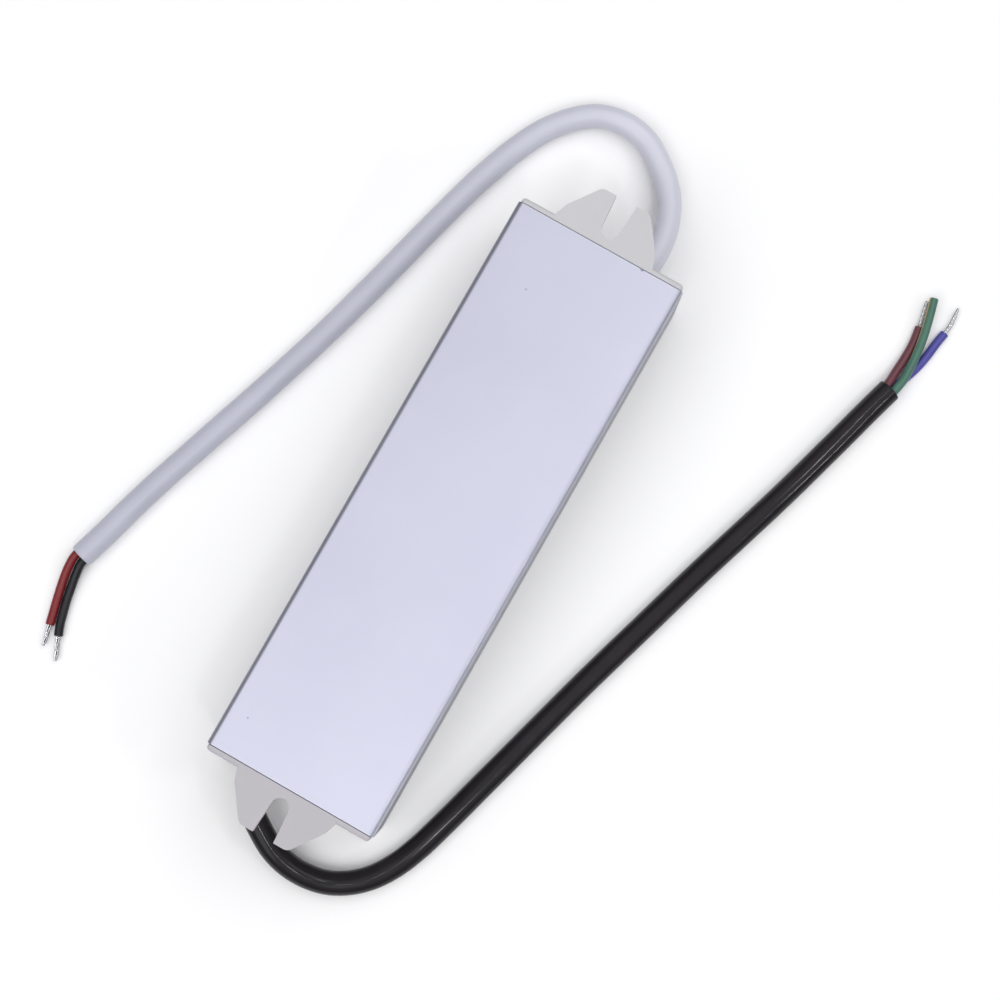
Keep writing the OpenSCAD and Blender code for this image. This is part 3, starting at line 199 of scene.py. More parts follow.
class Finish:
    """A material whose surface takes its patterns from places on the object, in millimetres."""

    def __init__(self, name, metallic=0.0, specular=0.5):
        self.material = bpy.data.materials.new(name)
        self.material.use_nodes = True
        self.surface = self.material.node_tree.nodes["Principled BSDF"]
        self.surface.inputs["Metallic"].default_value = metallic
        self.surface.inputs["Specular IOR Level"].default_value = specular
        self.bumps = None

    def node(self, kind, values=None, **settings):
        made = self.material.node_tree.nodes.new(kind)
        for key, value in settings.items():
            setattr(made, key, value)
        for socket, value in (values or {}).items():
            if isinstance(value, bpy.types.NodeSocket):
                self.material.node_tree.links.new(value, made.inputs[socket])
            else:
                made.inputs[socket].default_value = value
        return made

    def link(self, output, socket):
        self.material.node_tree.links.new(output, self.surface.inputs[socket])

    def linked(self, socket):
        return self.surface.inputs[socket].links[0].from_socket

    def place(self, scale=(1, 1, 1), turn=(0, 0, 0), centre=(0, 0, 0)):
        """Places on the object in millimetres, from a centre, turned and scaled."""
        source = self.node("ShaderNodeTexCoord").outputs["Object"]
        moved = self.node("ShaderNodeMapping", {"Vector": source, "Location": [-c for c in centre]})
        return self.node("ShaderNodeMapping", {
            "Vector": moved.outputs[0], "Rotation": turn, "Scale": [1000 * s for s in scale],
        }).outputs[0]

    def along(self, axis, centre=(0, 0, 0)):
        """How far a place is from the centre along one axis."""
        return self.node("ShaderNodeSeparateXYZ", {0: self.place(centre=centre)}).outputs[axis]

    def around(self):
        """How far round a drawn tube a place is, from 0 to 1."""
        unrolled = self.node("ShaderNodeTexCoord").outputs["UV"]
        return self.node("ShaderNodeSeparateXYZ", {0: unrolled}).outputs[1]

    def noise(self, scale, detail=3, roughness=0.5, stretch=(1, 1, 1)):
        """A soft uneven pattern. A stretch below 1 draws it out along that axis."""
        return self.node("ShaderNodeTexNoise", {
            "Vector": self.place(stretch), "Scale": scale, "Detail": detail, "Roughness": roughness,
        }).outputs[0]

    def reckon(self, operation, first, second=0.0):
        return self.node("ShaderNodeMath", {0: first, 1: second}, operation=operation).outputs[0]

    def spread(self, value, low, high, out_low, out_high):
        """The range from low to high is spread over another one, and what lies outside is held."""
        return self.node("ShaderNodeMapRange", {
            0: value, 1: low, 2: high, 3: out_low, 4: out_high,
        }).outputs[0]

    def past(self, value, level, blur=0.05):
        """1 where the value is past the level, and 0 where it is less by more than the blur."""
        return self.spread(value, level - blur, level, 0, 1)

    def beyond(self, axis, reach, centre=(0, 0, 0), blur=0.05):
        """1 further than this from the centre, both ways along the axis."""
        return self.past(self.reckon("ABSOLUTE", self.along(axis, centre)), reach, blur)

    def band(self, value, middle, reach, end):
        """1 where the value is within this reach of the middle one, and 0 past the end."""
        return self.spread(
            self.reckon("ABSOLUTE", self.reckon("SUBTRACT", value, middle)), reach, end, 1, 0
        )

    def woven(self, *threads):
        """Two sets of threads that cross, each with its axis and how close they lie."""
        return self.reckon("MULTIPLY", *[
            self.reckon("SINE", self.reckon("MULTIPLY", self.along(axis), close))
            for axis, close in threads
        ])

    def mixed(self, factor, first, second):
        """The first colour where the factor is 0, and the second where it is 1."""
        first, second = [
            colour if isinstance(colour, bpy.types.NodeSocket) else (*colour, 1)
            for colour in (first, second)
        ]
        both = {0: factor, 6: first, 7: second}
        return self.node("ShaderNodeMix", both, data_type="RGBA").outputs[2]

    def colour(self, pattern, first, second):
        self.link(self.mixed(pattern, first, second), "Base Color")

    def over(self, where, colour):
        """Another colour on top of the one so far, where the mask is 1."""
        self.colour(where, self.linked("Base Color"), colour)

    def gloss(self, pattern, smooth, rough):
        """Roughness that follows a noise, most of which lies between 0.3 and 0.7."""
        self.link(self.spread(pattern, 0.3, 0.7, smooth, rough), "Roughness")

    def bare(self, where, colour=(0.62, 0.62, 0.64), roughness=0.28):
        """Bare metal in place of the coat, where the mask is 1."""
        self.over(where, colour)
        gloss = self.linked("Roughness")
        change = self.reckon("MULTIPLY", where, self.reckon("SUBTRACT", roughness, gloss))
        self.link(self.reckon("ADD", gloss, change), "Roughness")
        self.link(where, "Metallic")

    def bump(self, height, depth):
        """Adds a relief of this many millimetres, on top of those before it."""
        made = self.node("ShaderNodeBump", {
            "Height": height, "Distance": depth / 1000, "Strength": 1,
        })
        if self.bumps:
            self.material.node_tree.links.new(self.bumps, made.inputs["Normal"])
        self.bumps = made.outputs[0]
        self.link(self.bumps, "Normal")

    def on(self, *pieces):
        for piece in pieces:
            piece.data.materials.clear()
            piece.data.materials.append(self.material)


# White PVC: extruded over the cores, so it is satin, with soft waves and a fine orange peel. It is
# painted lighter near its end cap and bend and darker towards its free end, as painted light and
# shade.
white_jacket = Finish("white_jacket_pvc", specular=0.4)
waves = white_jacket.noise(0.12, 0)
lit_bend_tone = white_jacket.mixed(waves, (0.615, 0.62, 0.705), (0.65, 0.655, 0.74))
shaded_end_tone = white_jacket.mixed(waves, (0.445, 0.45, 0.53), (0.48, 0.485, 0.57))
# Painted light and shade: lighter by the end cap and bend, darker towards the free end
painted_light_ramp = white_jacket.spread(white_jacket.along("Y"), 71, 8, 0, 1)
white_jacket.colour(white_jacket.reckon("POWER", painted_light_ramp, 2), shaded_end_tone, lit_bend_tone)
white_jacket.gloss(waves, 0.29, 0.35)
white_jacket.bump(white_jacket.noise(1.5, 2), 0.007)

output_line = smooth_line(output_points)
white_cable = drawn_tube(
    "white_cable", output_line, lobed_profile(CABLE_R, 2, 0.008, 40),
    turn=2 * math.pi / WHITE_PITCH,
)
stripped_end(white_cable, output_line[-1], wall=0.0007, depth=0.002, lip=0.0005)
white_jacket.on(white_cable)
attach(white_cable, "root")
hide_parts("output_cable")

# Red and black core: tinned copper strands in a 2.1 mm PVC skin, cut free of the jacket for about
# 2 cm. The last 5 mm are stripped, twisted and tinned.
CORE_R, CORE_OFFSET = 0.00105, 0.00113
INSIDE_JACKET, STRAIGHT_OUT = 0.0018, 0.0008


def core_line(cable_line, beside, above, points):
    """The smooth line of a core, from inside the jacket's cut end through its own points."""
    out = (cable_line[-1] - cable_line[-2]).normalized()
    start = cable_line[-1] + beside * Vector((0, 0, 1)).cross(out) + Vector((0, 0, above))
    return smooth_line([start - INSIDE_JACKET * out, start + STRAIGHT_OUT * out, *points], 0.0007)


def core_skin(name, line, finish, node, turn=0.0, start_turn=0.0):
    circle = lobed_profile(CORE_R, 1, 0, 24)
    skin = drawn_tube(name, line, circle, turn, start_turn)
    stripped_end(skin, line[-1], wall=0.0005, depth=0.0006, lip=0.00012)
    finish.on(skin)
    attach(skin, "root")
    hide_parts(node)
    return skin


def insulation(name, dark, light, specular=0.4):
    """Coloured PVC skin: even colour with slight streaks along it and a faintly uneven gloss."""
    finish = Finish(name, specular=specular)
    cloud = finish.noise(0.35)
    finish.colour(cloud, dark, light)
    finish.gloss(cloud, 0.28, 0.45)
    finish.bump(finish.noise(2.2, 2), 0.012)
    return finish


red_line = core_line(output_line, -CORE_OFFSET, 0, [
    (-0.0535, 0.0728, 0.0023), (-0.0565, 0.0724, 0.00175), (-0.06, 0.0717, 0.0014),
    (-0.0637, 0.0708, 0.0012), (-0.0668, 0.07, 0.00115),
])
black_line = core_line(output_line, CORE_OFFSET, 0, [
    (-0.0537, 0.0704, 0.0023), (-0.0566, 0.07, 0.00175), (-0.06, 0.0694, 0.0014),
    (-0.0632, 0.0686, 0.0012), (-0.0657, 0.0679, 0.00115), (-0.0681, 0.0669, 0.00115),
])
red_insulation = insulation("red_core_pvc", (0.15, 0.010, 0.013), (0.22, 0.017, 0.019))
black_insulation = insulation(
    "black_core_pvc", (0.008, 0.008, 0.010), (0.016, 0.016, 0.020), specular=0.3
)
red_core = core_skin("red_core_skin", red_line, red_insulation, "red_core")
black_core = core_skin(
    "black_core_skin", black_line, black_insulation, "black_core"
)

# Strands: thin tinned copper wires, twisted together and closed with a little solder at the tip,
# which rounds it off. Each wire is painted dark along two opposite sides, as painted shade.
HIDDEN, STRAIGHT = 0.0005, 0.001
RING, GATHERED = 1.25, 0.45
tinned = Finish("tinned_copper_strands", metallic=1.0)
dull = tinned.noise(3.5)
tinned.colour(dull, (0.42, 0.42, 0.45), (0.85, 0.85, 0.87))
furrow = tinned.reckon("COSINE", tinned.reckon("MULTIPLY", tinned.around(), 2 * math.pi))
# Painted shade: each wire darkened along two opposite sides
furrow_shade = tinned.spread(tinned.reckon("ABSOLUTE", furrow), 0.62, 0.95, 0, 1)
tinned.over(furrow_shade, (0.02, 0.02, 0.028))
tinned.gloss(dull, 0.1, 0.24)
tinned.bump(tinned.noise(7, 2), 0.02)


def strand_bundle(name, node, core, tip, wires, wire_r, pitch, flare):
    """Wires twisted round one line, from inside the core's stripped end to the tip, where they are
    gathered. The flare says how far they spring apart half way."""
    out = (core[-1] - core[-2]).normalized()
    middle = smooth_line([core[-1] - HIDDEN * out, core[-1] + STRAIGHT * out, Vector(tip)], 0.0002)
    whole = line_length(middle)
    made = []
    for w in range(wires):
        line, along = [], 0.0
        for i, place in enumerate(middle):
            along += (place - middle[i - 1]).length if i else 0
            ahead = (middle[min(i + 1, len(middle) - 1)] - middle[max(i - 1, 0)]).normalized()
            side = Vector((0, 0, 1)).cross(ahead).normalized()
            up = ahead.cross(side)
            share = along / whole
            sprung = RING + flare * math.sin(math.pi * share)
            away = wire_r * sprung * (1 - GATHERED * share ** 6)
            turned = 2 * math.pi * (w / wires + along / pitch)
            line.append(place + away * (math.cos(turned) * side + math.sin(turned) * up))
        made.append(drawn_tube(name, line[:len(line) - w % 2], lobed_profile(wire_r, 1, 0, 10)))
        activate(made[-1])
        bpy.ops.object.mode_set(mode="EDIT")
        pick(made[-1], "FACE", cut_face(line[-1], reach=0.0005))
        bpy.ops.mesh.bevel(offset=0.6 * wire_r, segments=2, affect="EDGES")
        bpy.ops.object.mode_set(mode="OBJECT")
    activate(made[0])
    for wire in made[1:]:
        wire.select_set(True)
    bpy.ops.object.join()
    bundle = bpy.context.object
    bundle.name = name
    tinned.on(bundle)
    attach(bundle, "root")
    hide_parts(node)
    return bundle


red_strands = strand_bundle(
    "red_strand_bundle", "red_strands", red_line, (-0.0718, 0.0689, 0.0012),
    wires=3, wire_r=0.00024, pitch=0.014, flare=0.1,
)
black_strands = strand_bundle(
    "black_strand_bundle", "black_strands", black_line, (-0.0734, 0.0646, 0.0011),
    wires=3, wire_r=0.00024, pitch=0.014, flare=0.1,
)

# Input cable: a black PVC jacket of the same thickness over three cores, twisted one turn in 11 cm,
# whose lobes show as long thin glints. It bends away under its ear and runs along the other side of
# the case.
BLACK_PITCH = 0.11
input_exit = (-0.0705, 0.0102, EXIT_HEIGHT)
input_points = [
    (-0.0565, 0.0102, 0.009), (-0.061, 0.0102, 0.009), input_exit,
    (-0.073, 0.0101, 0.0089), (-0.0766, 0.0089, 0.0086), (-0.0799, 0.0064, 0.0079),
    (-0.0827, 0.0027, 0.007), (-0.0855, -0.0022, 0.0057), (-0.0868, -0.007, 0.0045),
    (-0.0869, -0.0115, 0.0037), (-0.086, -0.016, 0.0031), (-0.0837, -0.0204, 0.0029),
    (-0.0802, -0.0243, 0.0029), (-0.075, -0.0278, 0.0029), (-0.0687, -0.0305, 0.0029),
    (-0.062, -0.0326, 0.0029), (-0.0467, -0.0369, 0.0029), (-0.031, -0.0412, 0.0029),
    (-0.0155, -0.0456, 0.0029), (0, -0.0502, 0.0029), (0.0156, -0.0549, 0.0029),
    (0.0312, -0.0598, 0.0029), (0.0468, -0.0647, 0.0029), (0.0604, -0.0686, 0.0029),
    (0.072, -0.0718, 0.0029), (0.078, -0.07355, 0.0029),
]
black_jacket = Finish("black_jacket_pvc", specular=0.18)
scuff = black_jacket.noise(0.25)
black_jacket.colour(scuff, (0.0135, 0.012, 0.0135), (0.0205, 0.0182, 0.0212))
black_jacket.gloss(scuff, 0.08, 0.14)
black_jacket.bump(black_jacket.noise(1.1, 2), 0.01)

input_line = smooth_line(input_points)
black_cable = drawn_tube(
    "black_cable", input_line, lobed_profile(CABLE_R, 3, 0.009, 48),
    turn=2 * math.pi / BLACK_PITCH,
)
stripped_end(black_cable, input_line[-1], wall=0.0006, depth=0.002, lip=0.0002)
black_jacket.on(black_cable)
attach(black_cable, "root")
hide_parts("input_cable")

# Brown, green and blue core: the brown and the blue one are stripped, the green one is cut flush.
# A yellow stripe winds slowly round the green skin and comes to its left side at the cut end.
CORE_RING = 0.0013


def ring_line(turn, points):
    """A core's line, from its place this far round the cable's middle."""
    turn = math.radians(turn)
    return core_line(input_line, -CORE_RING * math.cos(turn), CORE_RING * math.sin(turn), points)


brown_line = ring_line(165, [
    (0.0822, -0.0728, 0.0026), (0.0863, -0.07315, 0.0019), (0.091, -0.0732, 0.0014),
    (0.0947, -0.0727, 0.00125),
])
green_line = ring_line(45, [
    (0.0814, -0.0752, 0.0035), (0.0845, -0.07525, 0.00325), (0.0877, -0.0751, 0.0031),
    (0.0905, -0.0748, 0.00305), (0.0945, -0.0741, 0.0031), (0.098, -0.0733, 0.00305),
    (0.102, -0.0723, 0.0029),
])
blue_line = ring_line(285, [
    (0.081, -0.07505, 0.0012), (0.0832, -0.07585, 0.00115), (0.086, -0.07675, 0.00115),
    (0.0896, -0.0775, 0.00115), (0.0935, -0.078, 0.00115), (0.0964, -0.07855, 0.00115),
])
brown_insulation = insulation("brown_core_pvc", (0.10, 0.027, 0.038), (0.145, 0.047, 0.06))
green_insulation = insulation("green_core_pvc", (0.045, 0.13, 0.095), (0.075, 0.18, 0.13))
stripe = green_insulation.band(green_insulation.around(), 0.5, 0.075, 0.09)
green_insulation.over(stripe, (0.40, 0.26, 0.09))
blue_insulation = insulation("blue_core_pvc", (0.05, 0.047, 0.25), (0.09, 0.085, 0.36))
brown_core = core_skin(
    "brown_core_skin", brown_line, brown_insulation, "brown_core"
)
green_core = core_skin(
    "green_core_skin", green_line, green_insulation, "green_core",
    turn=34, start_turn=-0.7,
)
blue_core = core_skin("blue_core_skin", blue_line, blue_insulation, "blue_core")
brown_strands = strand_bundle(
    "brown_strand_bundle", "brown_strands", brown_line, (0.1011, -0.0713, 0.0014),
    wires=5, wire_r=0.00022, pitch=0.006, flare=0.3,
)
blue_strands = strand_bundle(
    "blue_strand_bundle", "blue_strands", blue_line, (0.1032, -0.0785, 0.0013),
    wires=8, wire_r=0.00016, pitch=0.0055, flare=0.9,
)

# Case: an extruded aluminium tube with rounded long edges, sawn to length, lightly deburred and
# clear anodised. Two pairs of rails inside it hold the circuit board.
CASE_L, CASE_W, CASE_H, WALL = 0.138, 0.042, 0.030, 0.0013
EDGE_R, DEBURRED = 0.0013, 0.00025
RAILS = ((0.02175, 0.02295), (0.02485, 0.02605))
RAIL_REACH = 0.0015
NICK_AT, NICK_R = (0.06895, -0.0106, 0.02998), 0.00045


def settle(piece):
    """Puts the piece's place into its mesh, so that its object sits at the origin."""
    activate(piece)
    bpy.ops.object.transform_apply(location=True, rotation=True, scale=True)


def rough_block(centre, size):
    bpy.ops.object.select_all(action="DESELECT")
    bpy.ops.mesh.primitive_cube_add(size=1, location=centre, scale=size)
    made = bpy.context.object
    settle(made)
    return made


def lengthways(shortest):
    """Tells the edges that run along the case, if they are longer than this."""
    return lambda e: abs(e.verts[0].co.x - e.verts[1].co.x) > shortest


def modify(piece, kind, **settings):
    activate(piece)
    modifier = piece.modifiers.new(kind.lower(), kind)
    for key, value in settings.items():
        setattr(modifier, key, value)
    bpy.ops.object.modifier_apply(modifier=modifier.name)


def cut_out(piece, cutter, operation="DIFFERENCE"):
    settle(cutter)
    modify(piece, "BOOLEAN", object=cutter, operation=operation, solver="EXACT")
    bpy.data.objects.remove(cutter)


case = rough_block((0, 0, CASE_H / 2), (CASE_L, CASE_W, CASE_H))
case.name = "case_tube"
bpy.ops.object.mode_set(mode="EDIT")
pick(case, "EDGE", lengthways(CASE_L / 2))
bpy.ops.mesh.bevel(offset=EDGE_R, segments=8, affect="EDGES")
pick(case, "FACE", lambda f: abs(f.normal.x) > 0.9)
bpy.ops.mesh.delete(type="ONLY_FACE")
bpy.ops.object.mode_set(mode="OBJECT")
modify(case, "SOLIDIFY", thickness=WALL, offset=-1, use_even_offset=True)
bpy.ops.object.mode_set(mode="EDIT")
bpy.ops.mesh.select_all(action="SELECT")
bpy.ops.mesh.remove_doubles(threshold=0.00002)
for low, high in RAILS:
    for height in (low, high):
        bpy.ops.mesh.select_all(action="SELECT")
        bpy.ops.mesh.bisect(plane_co=(0, 0, height), plane_no=(0, 0, 1))
for side in (-1, 1):
    for low, high in RAILS:
        pick(case, "FACE", lambda f: (
            f.normal.y * side < -0.9
            and f.calc_center_median().y * side > CASE_W / 2 - WALL - 0.0001
            and low < f.calc_center_median().z < high
        ))
        bpy.ops.mesh.extrude_region_move(
            TRANSFORM_OT_translate={"value": (0, -side * RAIL_REACH, 0)}
        )
bpy.ops.object.mode_set(mode="OBJECT")
modify(
    case, "BEVEL", width=DEBURRED, segments=3, limit_method="ANGLE", angle_limit=math.radians(60)
)
# A saw burr was knocked off here and left a small nick in the end's upper edge
bpy.ops.mesh.primitive_ico_sphere_add(
    subdivisions=2, radius=NICK_R, location=NICK_AT, scale=(0.8, 1, 0.8)
)
cut_out(case, bpy.context.object)
bpy.ops.object.shade_smooth_by_angle(angle=math.radians(35))
modify(case, "WEIGHTED_NORMAL", keep_sharp=True)

# Clear anodised aluminium: satin grey with a blue cast and very faint drawing lines along the case,
# painted a little darker towards the output end as painted shade. The walls and edge roundings are
# painted darker than the base as painted shade, and the rounding next to the black cable is painted
# lighter as painted light. The bath left a few pits; the last one is painted shade in the nick.
PAINTED_SHADE_GREY, PAINTED_EDGE_LIGHT, PIT_GREY_AND_NICK_SHADE = (0.10, 0.105, 0.13), (0.64, 0.65, 0.75), (0.16, 0.17, 0.22)
# Two real pits; the last, larger spot lies on the nick and paints shade into it
PITS_AND_NICK_SHADE = (
    ((0.0524, 0.0097, 0.03), 0.3), ((-0.06, 0.0158, 0.03), 0.3), ((0.0688, -0.0106, 0.03), 0.45),
)
anodised = Finish("anodised_aluminium_skin", metallic=0.85)
drawn = anodised.noise(2.4, 5, 0.6, stretch=(0.02, 1, 1))
shade = anodised.reckon("ADD", anodised.spread(drawn, 0, 1, 0, 0.4), anodised.noise(0.035))
anodised.colour(
    anodised.spread(shade, 0.5, 0.9, 0, 1), (0.48, 0.485, 0.578), (0.503, 0.508, 0.601)
)
# Painted shade: a little darker towards the output end
anodised.over(anodised.spread(anodised.along("X"), 0, 65, 0, 0.12), PAINTED_SHADE_GREY)
across = anodised.along("Y")
# Painted light: the rounding on the black cable's side is lighter
anodised.over(anodised.spread(across, -20, -20.65, 0, 1), PAINTED_EDGE_LIGHT)
# Painted shade: side walls and edge roundings darker than the base
white_side = anodised.spread(across, 19.7, 20.8, 0, 0.55)
shoulder = anodised.spread(across, -19.2, -19.9, 0, 0.17)
black_side = anodised.reckon(
    "MULTIPLY", anodised.spread(across, -20.4, -20.9, 0, 0.62),
    anodised.spread(anodised.along("Z"), 29.4, 28, 0, 1),
)
walls = anodised.reckon("ADD", white_side, anodised.reckon("ADD", shoulder, black_side))
anodised.over(walls, PAINTED_SHADE_GREY)
for centre, reach in PITS_AND_NICK_SHADE:
    apart = anodised.node(
        "ShaderNodeVectorMath", {0: anodised.place(centre=centre)}, operation="LENGTH"
    ).outputs["Value"]
    anodised.over(anodised.spread(apart, reach / 3, reach, 0.7, 0), PIT_GREY_AND_NICK_SHADE)
anodised.gloss(drawn, 0.37, 0.43)
anodised.bump(drawn, 0.002)
anodised.on(case)
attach(case, "root")
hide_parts("housing")

# End caps: both ends take the same moulding in natural nylon, turned half round. Its plate stands
# just inside the tube's outline, a slotted ear runs out level with the plate's rim, and a hollow
# plug with a sleeve for the cable sits in the tube, held by the potting.
PLATE_T, INSET, JOINT = 0.0015, 0.00045, 0.00018
PLATE_W, PLATE_H = CASE_W - 2 * INSET, CASE_H - 2 * INSET
CORNER_R, RIM_R, MOULD_EDGE = 0.0009, 0.00085, 0.00022
FACE_X = CASE_L / 2 + PLATE_T
EAR_TOP = CASE_H - INSET
EAR_T, EAR_REACH, EAR_IN_PLATE = 0.0024, 0.0103, 0.0012
ROOT_W, SHOULDER_W, TIP_W = 0.0248, 0.023, 0.0122
SHOULDER_X, SHOULDER_R, TIP_R = 0.0028, 0.0008, 0.0010
SLOT_X, SLOT_R, SLOT_L, MOUTH_W = FACE_X + 0.00295, 0.0021, 0.012, 0.0052
MARK_X, MARK_Y, MARK_R, MARK_DEPTH = FACE_X + 0.0036, 0.0056, 0.0013, 0.00006
PLUG_DEPTH, PLUG_WALL, PLUG_GAP, PLUG_EDGE = 0.008, 0.0018, 0.00015, 0.0005
PLUG_IN_PLATE = 0.0004
PLUG_L = PLUG_DEPTH + PLUG_IN_PLATE
PLUG_X = CASE_L / 2 - PLUG_DEPTH + PLUG_L / 2
SLEEVE_R, BORE_R = 0.0046, 0.003


def rod(centre, radius, length, level=False, vertices=48):
    """A round rod that stands upright, or lies level along the case."""
    bpy.ops.mesh.primitive_cylinder_add(
        vertices=vertices, radius=radius, depth=length, location=centre,
        rotation=(0, math.pi / 2 if level else 0, 0),
    )
    return bpy.context.object


cap = rough_block(
    (FACE_X - (PLATE_T - JOINT) / 2, 0, CASE_H / 2), (PLATE_T - JOINT, PLATE_W, PLATE_H)
)
cap.name = "output_cap_moulding"
bpy.ops.object.mode_set(mode="EDIT")
pick(cap, "EDGE", lengthways(PLATE_T / 2))
bpy.ops.mesh.bevel(offset=CORNER_R, segments=5, affect="EDGES")
pick(cap, "EDGE", lambda e: min(v.co.x for v in e.verts) > FACE_X - 0.0001)
bpy.ops.mesh.bevel(offset=RIM_R, segments=5, affect="EDGES")
bpy.ops.object.mode_set(mode="OBJECT")

# The ear starts inside the plate, goes out to its shoulders and narrows to its tip
ear = rough_block(
    (FACE_X - EAR_IN_PLATE / 2, 0, EAR_TOP - EAR_T / 2), (EAR_IN_PLATE, ROOT_W, EAR_T)
)
bpy.ops.object.mode_set(mode="EDIT")
pick(ear, "FACE", lambda f: f.normal.x > 0.9)
for step, narrower in (
    (SHOULDER_X, SHOULDER_W / ROOT_W), (EAR_REACH - SHOULDER_X, TIP_W / SHOULDER_W),
):
    bpy.ops.mesh.extrude_region_move(TRANSFORM_OT_translate={"value": (step, 0, 0)})
    bpy.ops.transform.resize(value=(1, narrower, 1), center_override=(0, 0, 0))


def upright(edge, x, y):
    """Tells the ear's upright edges at this distance out and to both sides."""
    low, high = edge.verts[0].co, edge.verts[1].co
    return (
        abs(low.z - high.z) > EAR_T / 2 and min(low.z, high.z) > EAR_TOP - EAR_T - 0.0001
        and abs(low.x - x) < 0.0001 and abs(abs(low.y) - y) < 0.0001
    )


for x, y, radius, segments in (
    (FACE_X + EAR_REACH, TIP_W / 2, TIP_R, 5), (FACE_X + SHOULDER_X, SHOULDER_W / 2, SHOULDER_R, 4),
):
    pick(ear, "EDGE", lambda e: upright(e, x, y))
    bpy.ops.mesh.bevel(offset=radius, segments=segments, affect="EDGES")
bpy.ops.object.mode_set(mode="OBJECT")
cut_out(cap, ear, "UNION")

# The slot is open at the ear's tip, a little wider there, and round at its root
slot_wedge = rough_block(
    (SLOT_X + SLOT_L / 2, 0, EAR_TOP - EAR_T / 2), (SLOT_L, 2 * SLOT_R, 0.01)
)
bpy.ops.object.mode_set(mode="EDIT")
pick(slot_wedge, "VERT", lambda v: v.co.x > SLOT_X + SLOT_L / 2)
wider = 1 + (MOUTH_W / 2 / SLOT_R - 1) * SLOT_L / (EAR_REACH + FACE_X - SLOT_X)
bpy.ops.transform.resize(value=(1, wider, 1), center_override=(0, 0, 0))
bpy.ops.object.mode_set(mode="OBJECT")
cut_out(cap, slot_wedge)
cut_out(cap, rod((SLOT_X, 0, EAR_TOP - EAR_T / 2), SLOT_R, 0.01))
# Hole for the cable
cut_out(cap, rod((FACE_X, output_exit[1], EXIT_HEIGHT), BORE_R, 0.006, level=True, vertices=64))
modify(
    cap, "BEVEL", width=MOULD_EDGE, segments=3, limit_method="ANGLE", angle_limit=math.radians(50)
)
# The shallow mark of an ejector pin on the ear
cut_out(cap, rod((MARK_X, MARK_Y, EAR_TOP + 0.0005 - MARK_DEPTH), MARK_R, 0.001))

# The plug: a rounded frame with a notch on each side for the board's rails, and the cable's sleeve
plug = rough_block(
    (PLUG_X, 0, CASE_H / 2),
    (PLUG_L, CASE_W - 2 * (WALL + PLUG_GAP), CASE_H - 2 * (WALL + PLUG_GAP)),
)
bpy.ops.object.mode_set(mode="EDIT")
pick(plug, "EDGE", lengthways(PLUG_DEPTH / 2))
bpy.ops.mesh.bevel(offset=PLUG_EDGE, segments=4, affect="EDGES")
pick(plug, "FACE", lambda f: f.normal.x < -0.9)
bpy.ops.mesh.inset(thickness=PLUG_WALL)
bpy.ops.mesh.extrude_region_move(TRANSFORM_OT_translate={"value": (PLUG_DEPTH, 0, 0)})
bpy.ops.object.mode_set(mode="OBJECT")
cut_out(plug, rough_block(
    (CASE_L / 2 - PLUG_DEPTH / 2, 0, (RAILS[0][0] + RAILS[1][1]) / 2),
    (PLUG_DEPTH + 0.002, CASE_W, RAILS[1][1] - RAILS[0][0] + 2 * PLUG_GAP),
))
sleeve = rod((PLUG_X, output_exit[1], EXIT_HEIGHT), SLEEVE_R, PLUG_L, level=True)
settle(sleeve)
bpy.ops.object.mode_set(mode="EDIT")
pick(sleeve, "FACE", lambda f: abs(f.normal.x) > 0.9)
bpy.ops.mesh.inset(thickness=SLEEVE_R - BORE_R)
bpy.ops.mesh.bridge_edge_loops()
bpy.ops.object.mode_set(mode="OBJECT")
activate(cap)
plug.select_set(True)
sleeve.select_set(True)
bpy.ops.object.join()
bpy.ops.object.shade_smooth_by_angle(angle=math.radians(35))
modify(cap, "WEIGHTED_NORMAL", keep_sharp=True)

# Natural nylon: a translucent grey white with a fine moulded grain. The cap on the input end is
# painted a little darker, as painted shade.
natural_nylon = Finish("natural_nylon", specular=0.35)
cloudy = natural_nylon.noise(0.09)
# Painted shade: darker towards the input end, along the case
natural_nylon.colour(
    natural_nylon.spread(natural_nylon.along("X"), -60, 60, 0, 1),
    natural_nylon.mixed(cloudy, (0.45, 0.435, 0.462), (0.485, 0.468, 0.495)),
    natural_nylon.mixed(cloudy, (0.525, 0.525, 0.54), (0.56, 0.56, 0.575)),
)
natural_nylon.gloss(cloudy, 0.45, 0.6)
natural_nylon.bump(natural_nylon.noise(4), 0.01)
natural_nylon.surface.inputs["Subsurface Weight"].default_value = 0.15
natural_nylon.surface.inputs["Subsurface Radius"].default_value = (0.0014, 0.0014, 0.0018)
natural_nylon.on(cap)
input_cap = cap.copy()
input_cap.data = cap.data.copy()
input_cap.name = "input_cap_moulding"
bpy.context.collection.objects.link(input_cap)
input_cap.rotation_euler = (0, 0, math.pi)
settle(input_cap)
for piece, node in ((cap, "output_end_cap"), (input_cap, "input_end_cap")):
    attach(piece, "root")
    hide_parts(node)

# Cable ties: a toothed white nylon strap is pulled tight round each jacket behind its plug. It lies
# against the plug's sleeve, so a pull on the cable doesn't reach the cores.
TIE_X, TEETH = 0.0592, 36
for tie, side in (("output_cable_tie", 1), ("input_cable_tie", -1)):
    strap = Finish(tie + "_nylon")
    strap_cloud = strap.noise(0.5)
    strap.colour(strap_cloud, (0.66, 0.66, 0.61), (0.77, 0.77, 0.74))
    strap.gloss(strap_cloud, 0.33, 0.5)
    middle = (TIE_X * side, output_exit[1] * side, EXIT_HEIGHT)
    strap_round = strap.node("ShaderNodeTexGradient", {
        0: strap.place(turn=(0, math.pi / 2, 0), centre=middle),
    }, gradient_type="RADIAL").outputs[1]
    strap.bump(strap.reckon("FRACT", strap.reckon("MULTIPLY", strap_round, TEETH)), 0.15)
    strap.on(nodes[tie])

